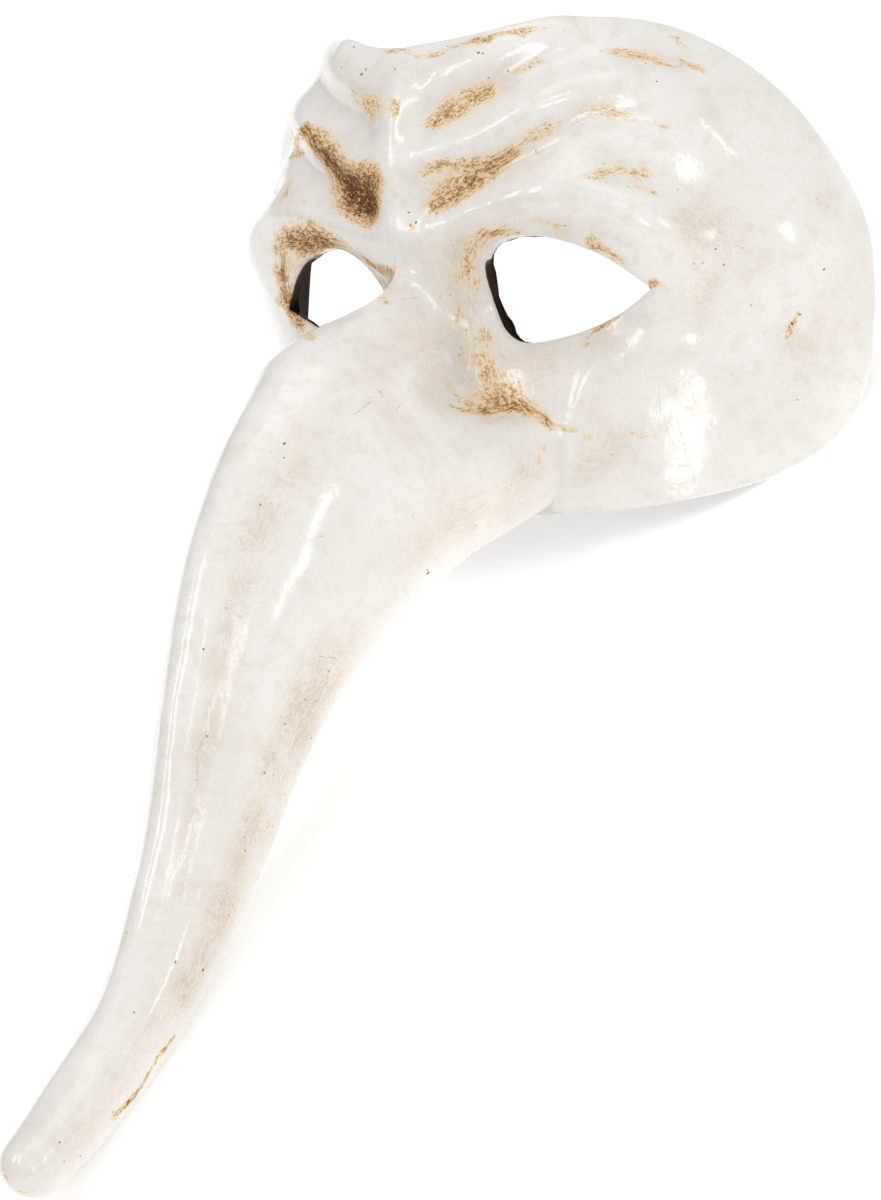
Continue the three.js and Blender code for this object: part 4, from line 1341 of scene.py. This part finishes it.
for name in ("zanni_lacquer", "zanni_lining"):
    mesh.materials.append(bpy.data.materials.new(name))
Lacquer(mesh.materials[0], seen).paint()
paint_lining(mesh.materials[1])

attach(shell, "root")
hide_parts("mask")


# Floor, lights and camera. The camera's three directions and its target are in the row frame.
towards, right, up = (LIE_MATRIX @ way for way in (TOWARDS_EYE, FRAME_RIGHT, (0, 1, 0)))
target = in_row(AIM)


def frame_matrix(side, above, back, place):
    """Matrix of a lamp or camera that looks against the way back."""
    return Matrix([(side[k], above[k], back[k], place[k]) for k in range(3)] + [(0, 0, 0, 1)])


def glowing_paper_floor():
    """Pale paper that glows a little, more under the shell, as painted light that lifts the shell's
    shadow.
    """
    floor_mesh = bpy.data.meshes.new("floor")
    corners = [(-6, -6, 0), (6, -6, 0), (6, 6, 0), (-6, 6, 0)]
    floor_mesh.from_pydata(corners, [], [(0, 1, 2, 3)])
    paper = bpy.data.materials.new("glowing_floor_paper")
    n = Nodes(paper)
    at = n.object_at()
    colour = n.mix(n.noise(at, 40, 3), linear(250, 250, 249), linear(253, 253, 252))
    # Painted light: the glow is strongest under the shell, to lift its shadow off the floor.
    glow = n.between(n.from_point(at, (0.0, 0.11, 0.0)), 0.05, 0.14, 0.55, 0.25)
    n.surface(Base_Color=colour, Roughness=0.9, Specular_IOR_Level=0.1,
              Emission_Color=(1, 1, 1, 1), Emission_Strength=glow)
    floor_mesh.materials.append(paper)
    return add_object("floor", floor_mesh)


def studio_world():
    """White all round, brighter above and on the camera's side."""
    world = bpy.data.worlds.new("studio")
    bpy.context.scene.world = world
    n = Nodes(world)
    direction = n.node("ShaderNodeTexCoord").outputs["Generated"]
    facing = n.vector("DOT_PRODUCT", direction, tuple(unit(0.6 * towards + up)), out="Value")
    background = n.fill(n.node("ShaderNodeBackground"), Color=(1, 1, 1, 1),
                        Strength=n.between(facing, -0.5, 0.9, 0.38, 0.66))
    n.fill(n.node("ShaderNodeOutputWorld"), Surface=background.outputs["Background"])


def soft_light(name, across, height, width, length, power, distance=3.0):
    """Area light seen from the mask at angles to the camera's side and upwards, in degrees."""
    a, e = math.radians(across), math.radians(height)
    back = Vector(towards * math.cos(e) * math.cos(a) + right * math.cos(e) * math.sin(a)
                  + up * math.sin(e))
    data = bpy.data.lights.new(name, "AREA")
    data.shape = "RECTANGLE"
    data.size, data.size_y = width, length
    data.energy = power
    lamp = add_object(name, data)
    side = Vector(up).cross(back).normalized()
    lamp.matrix_world = frame_matrix(side, back.cross(side), back, Vector(target) + back * distance)
    lamp.visible_camera = False


def photo_camera():
    """Camera at the photograph's angle to the mask."""
    data = bpy.data.cameras.new("camera")
    data.sensor_width = SENSOR
    data.lens = LENS
    data.clip_end = 50
    camera = add_object("camera", data)
    camera.matrix_world = frame_matrix(right, up, towards, target + towards * EYE_DISTANCE / 1000)
    bpy.context.scene.camera = camera


floor = glowing_paper_floor()
studio_world()
soft_light("left_box", -44, 20, 0.44, 1.5, 12)
soft_light("outer_box", -66, 18, 0.26, 1.2, 7)
soft_light("right_strip", 42, 20, 0.34, 0.8, 6)
soft_light("front_strip", 1, 18, 0.16, 0.5, 2)
soft_light("low_box", 6, -7, 0.5, 0.5, 6)
soft_light("top_box", -10, 68, 2.0, 1.6, 11)
photo_camera()
bpy.context.scene.view_settings.view_transform = "Standard"
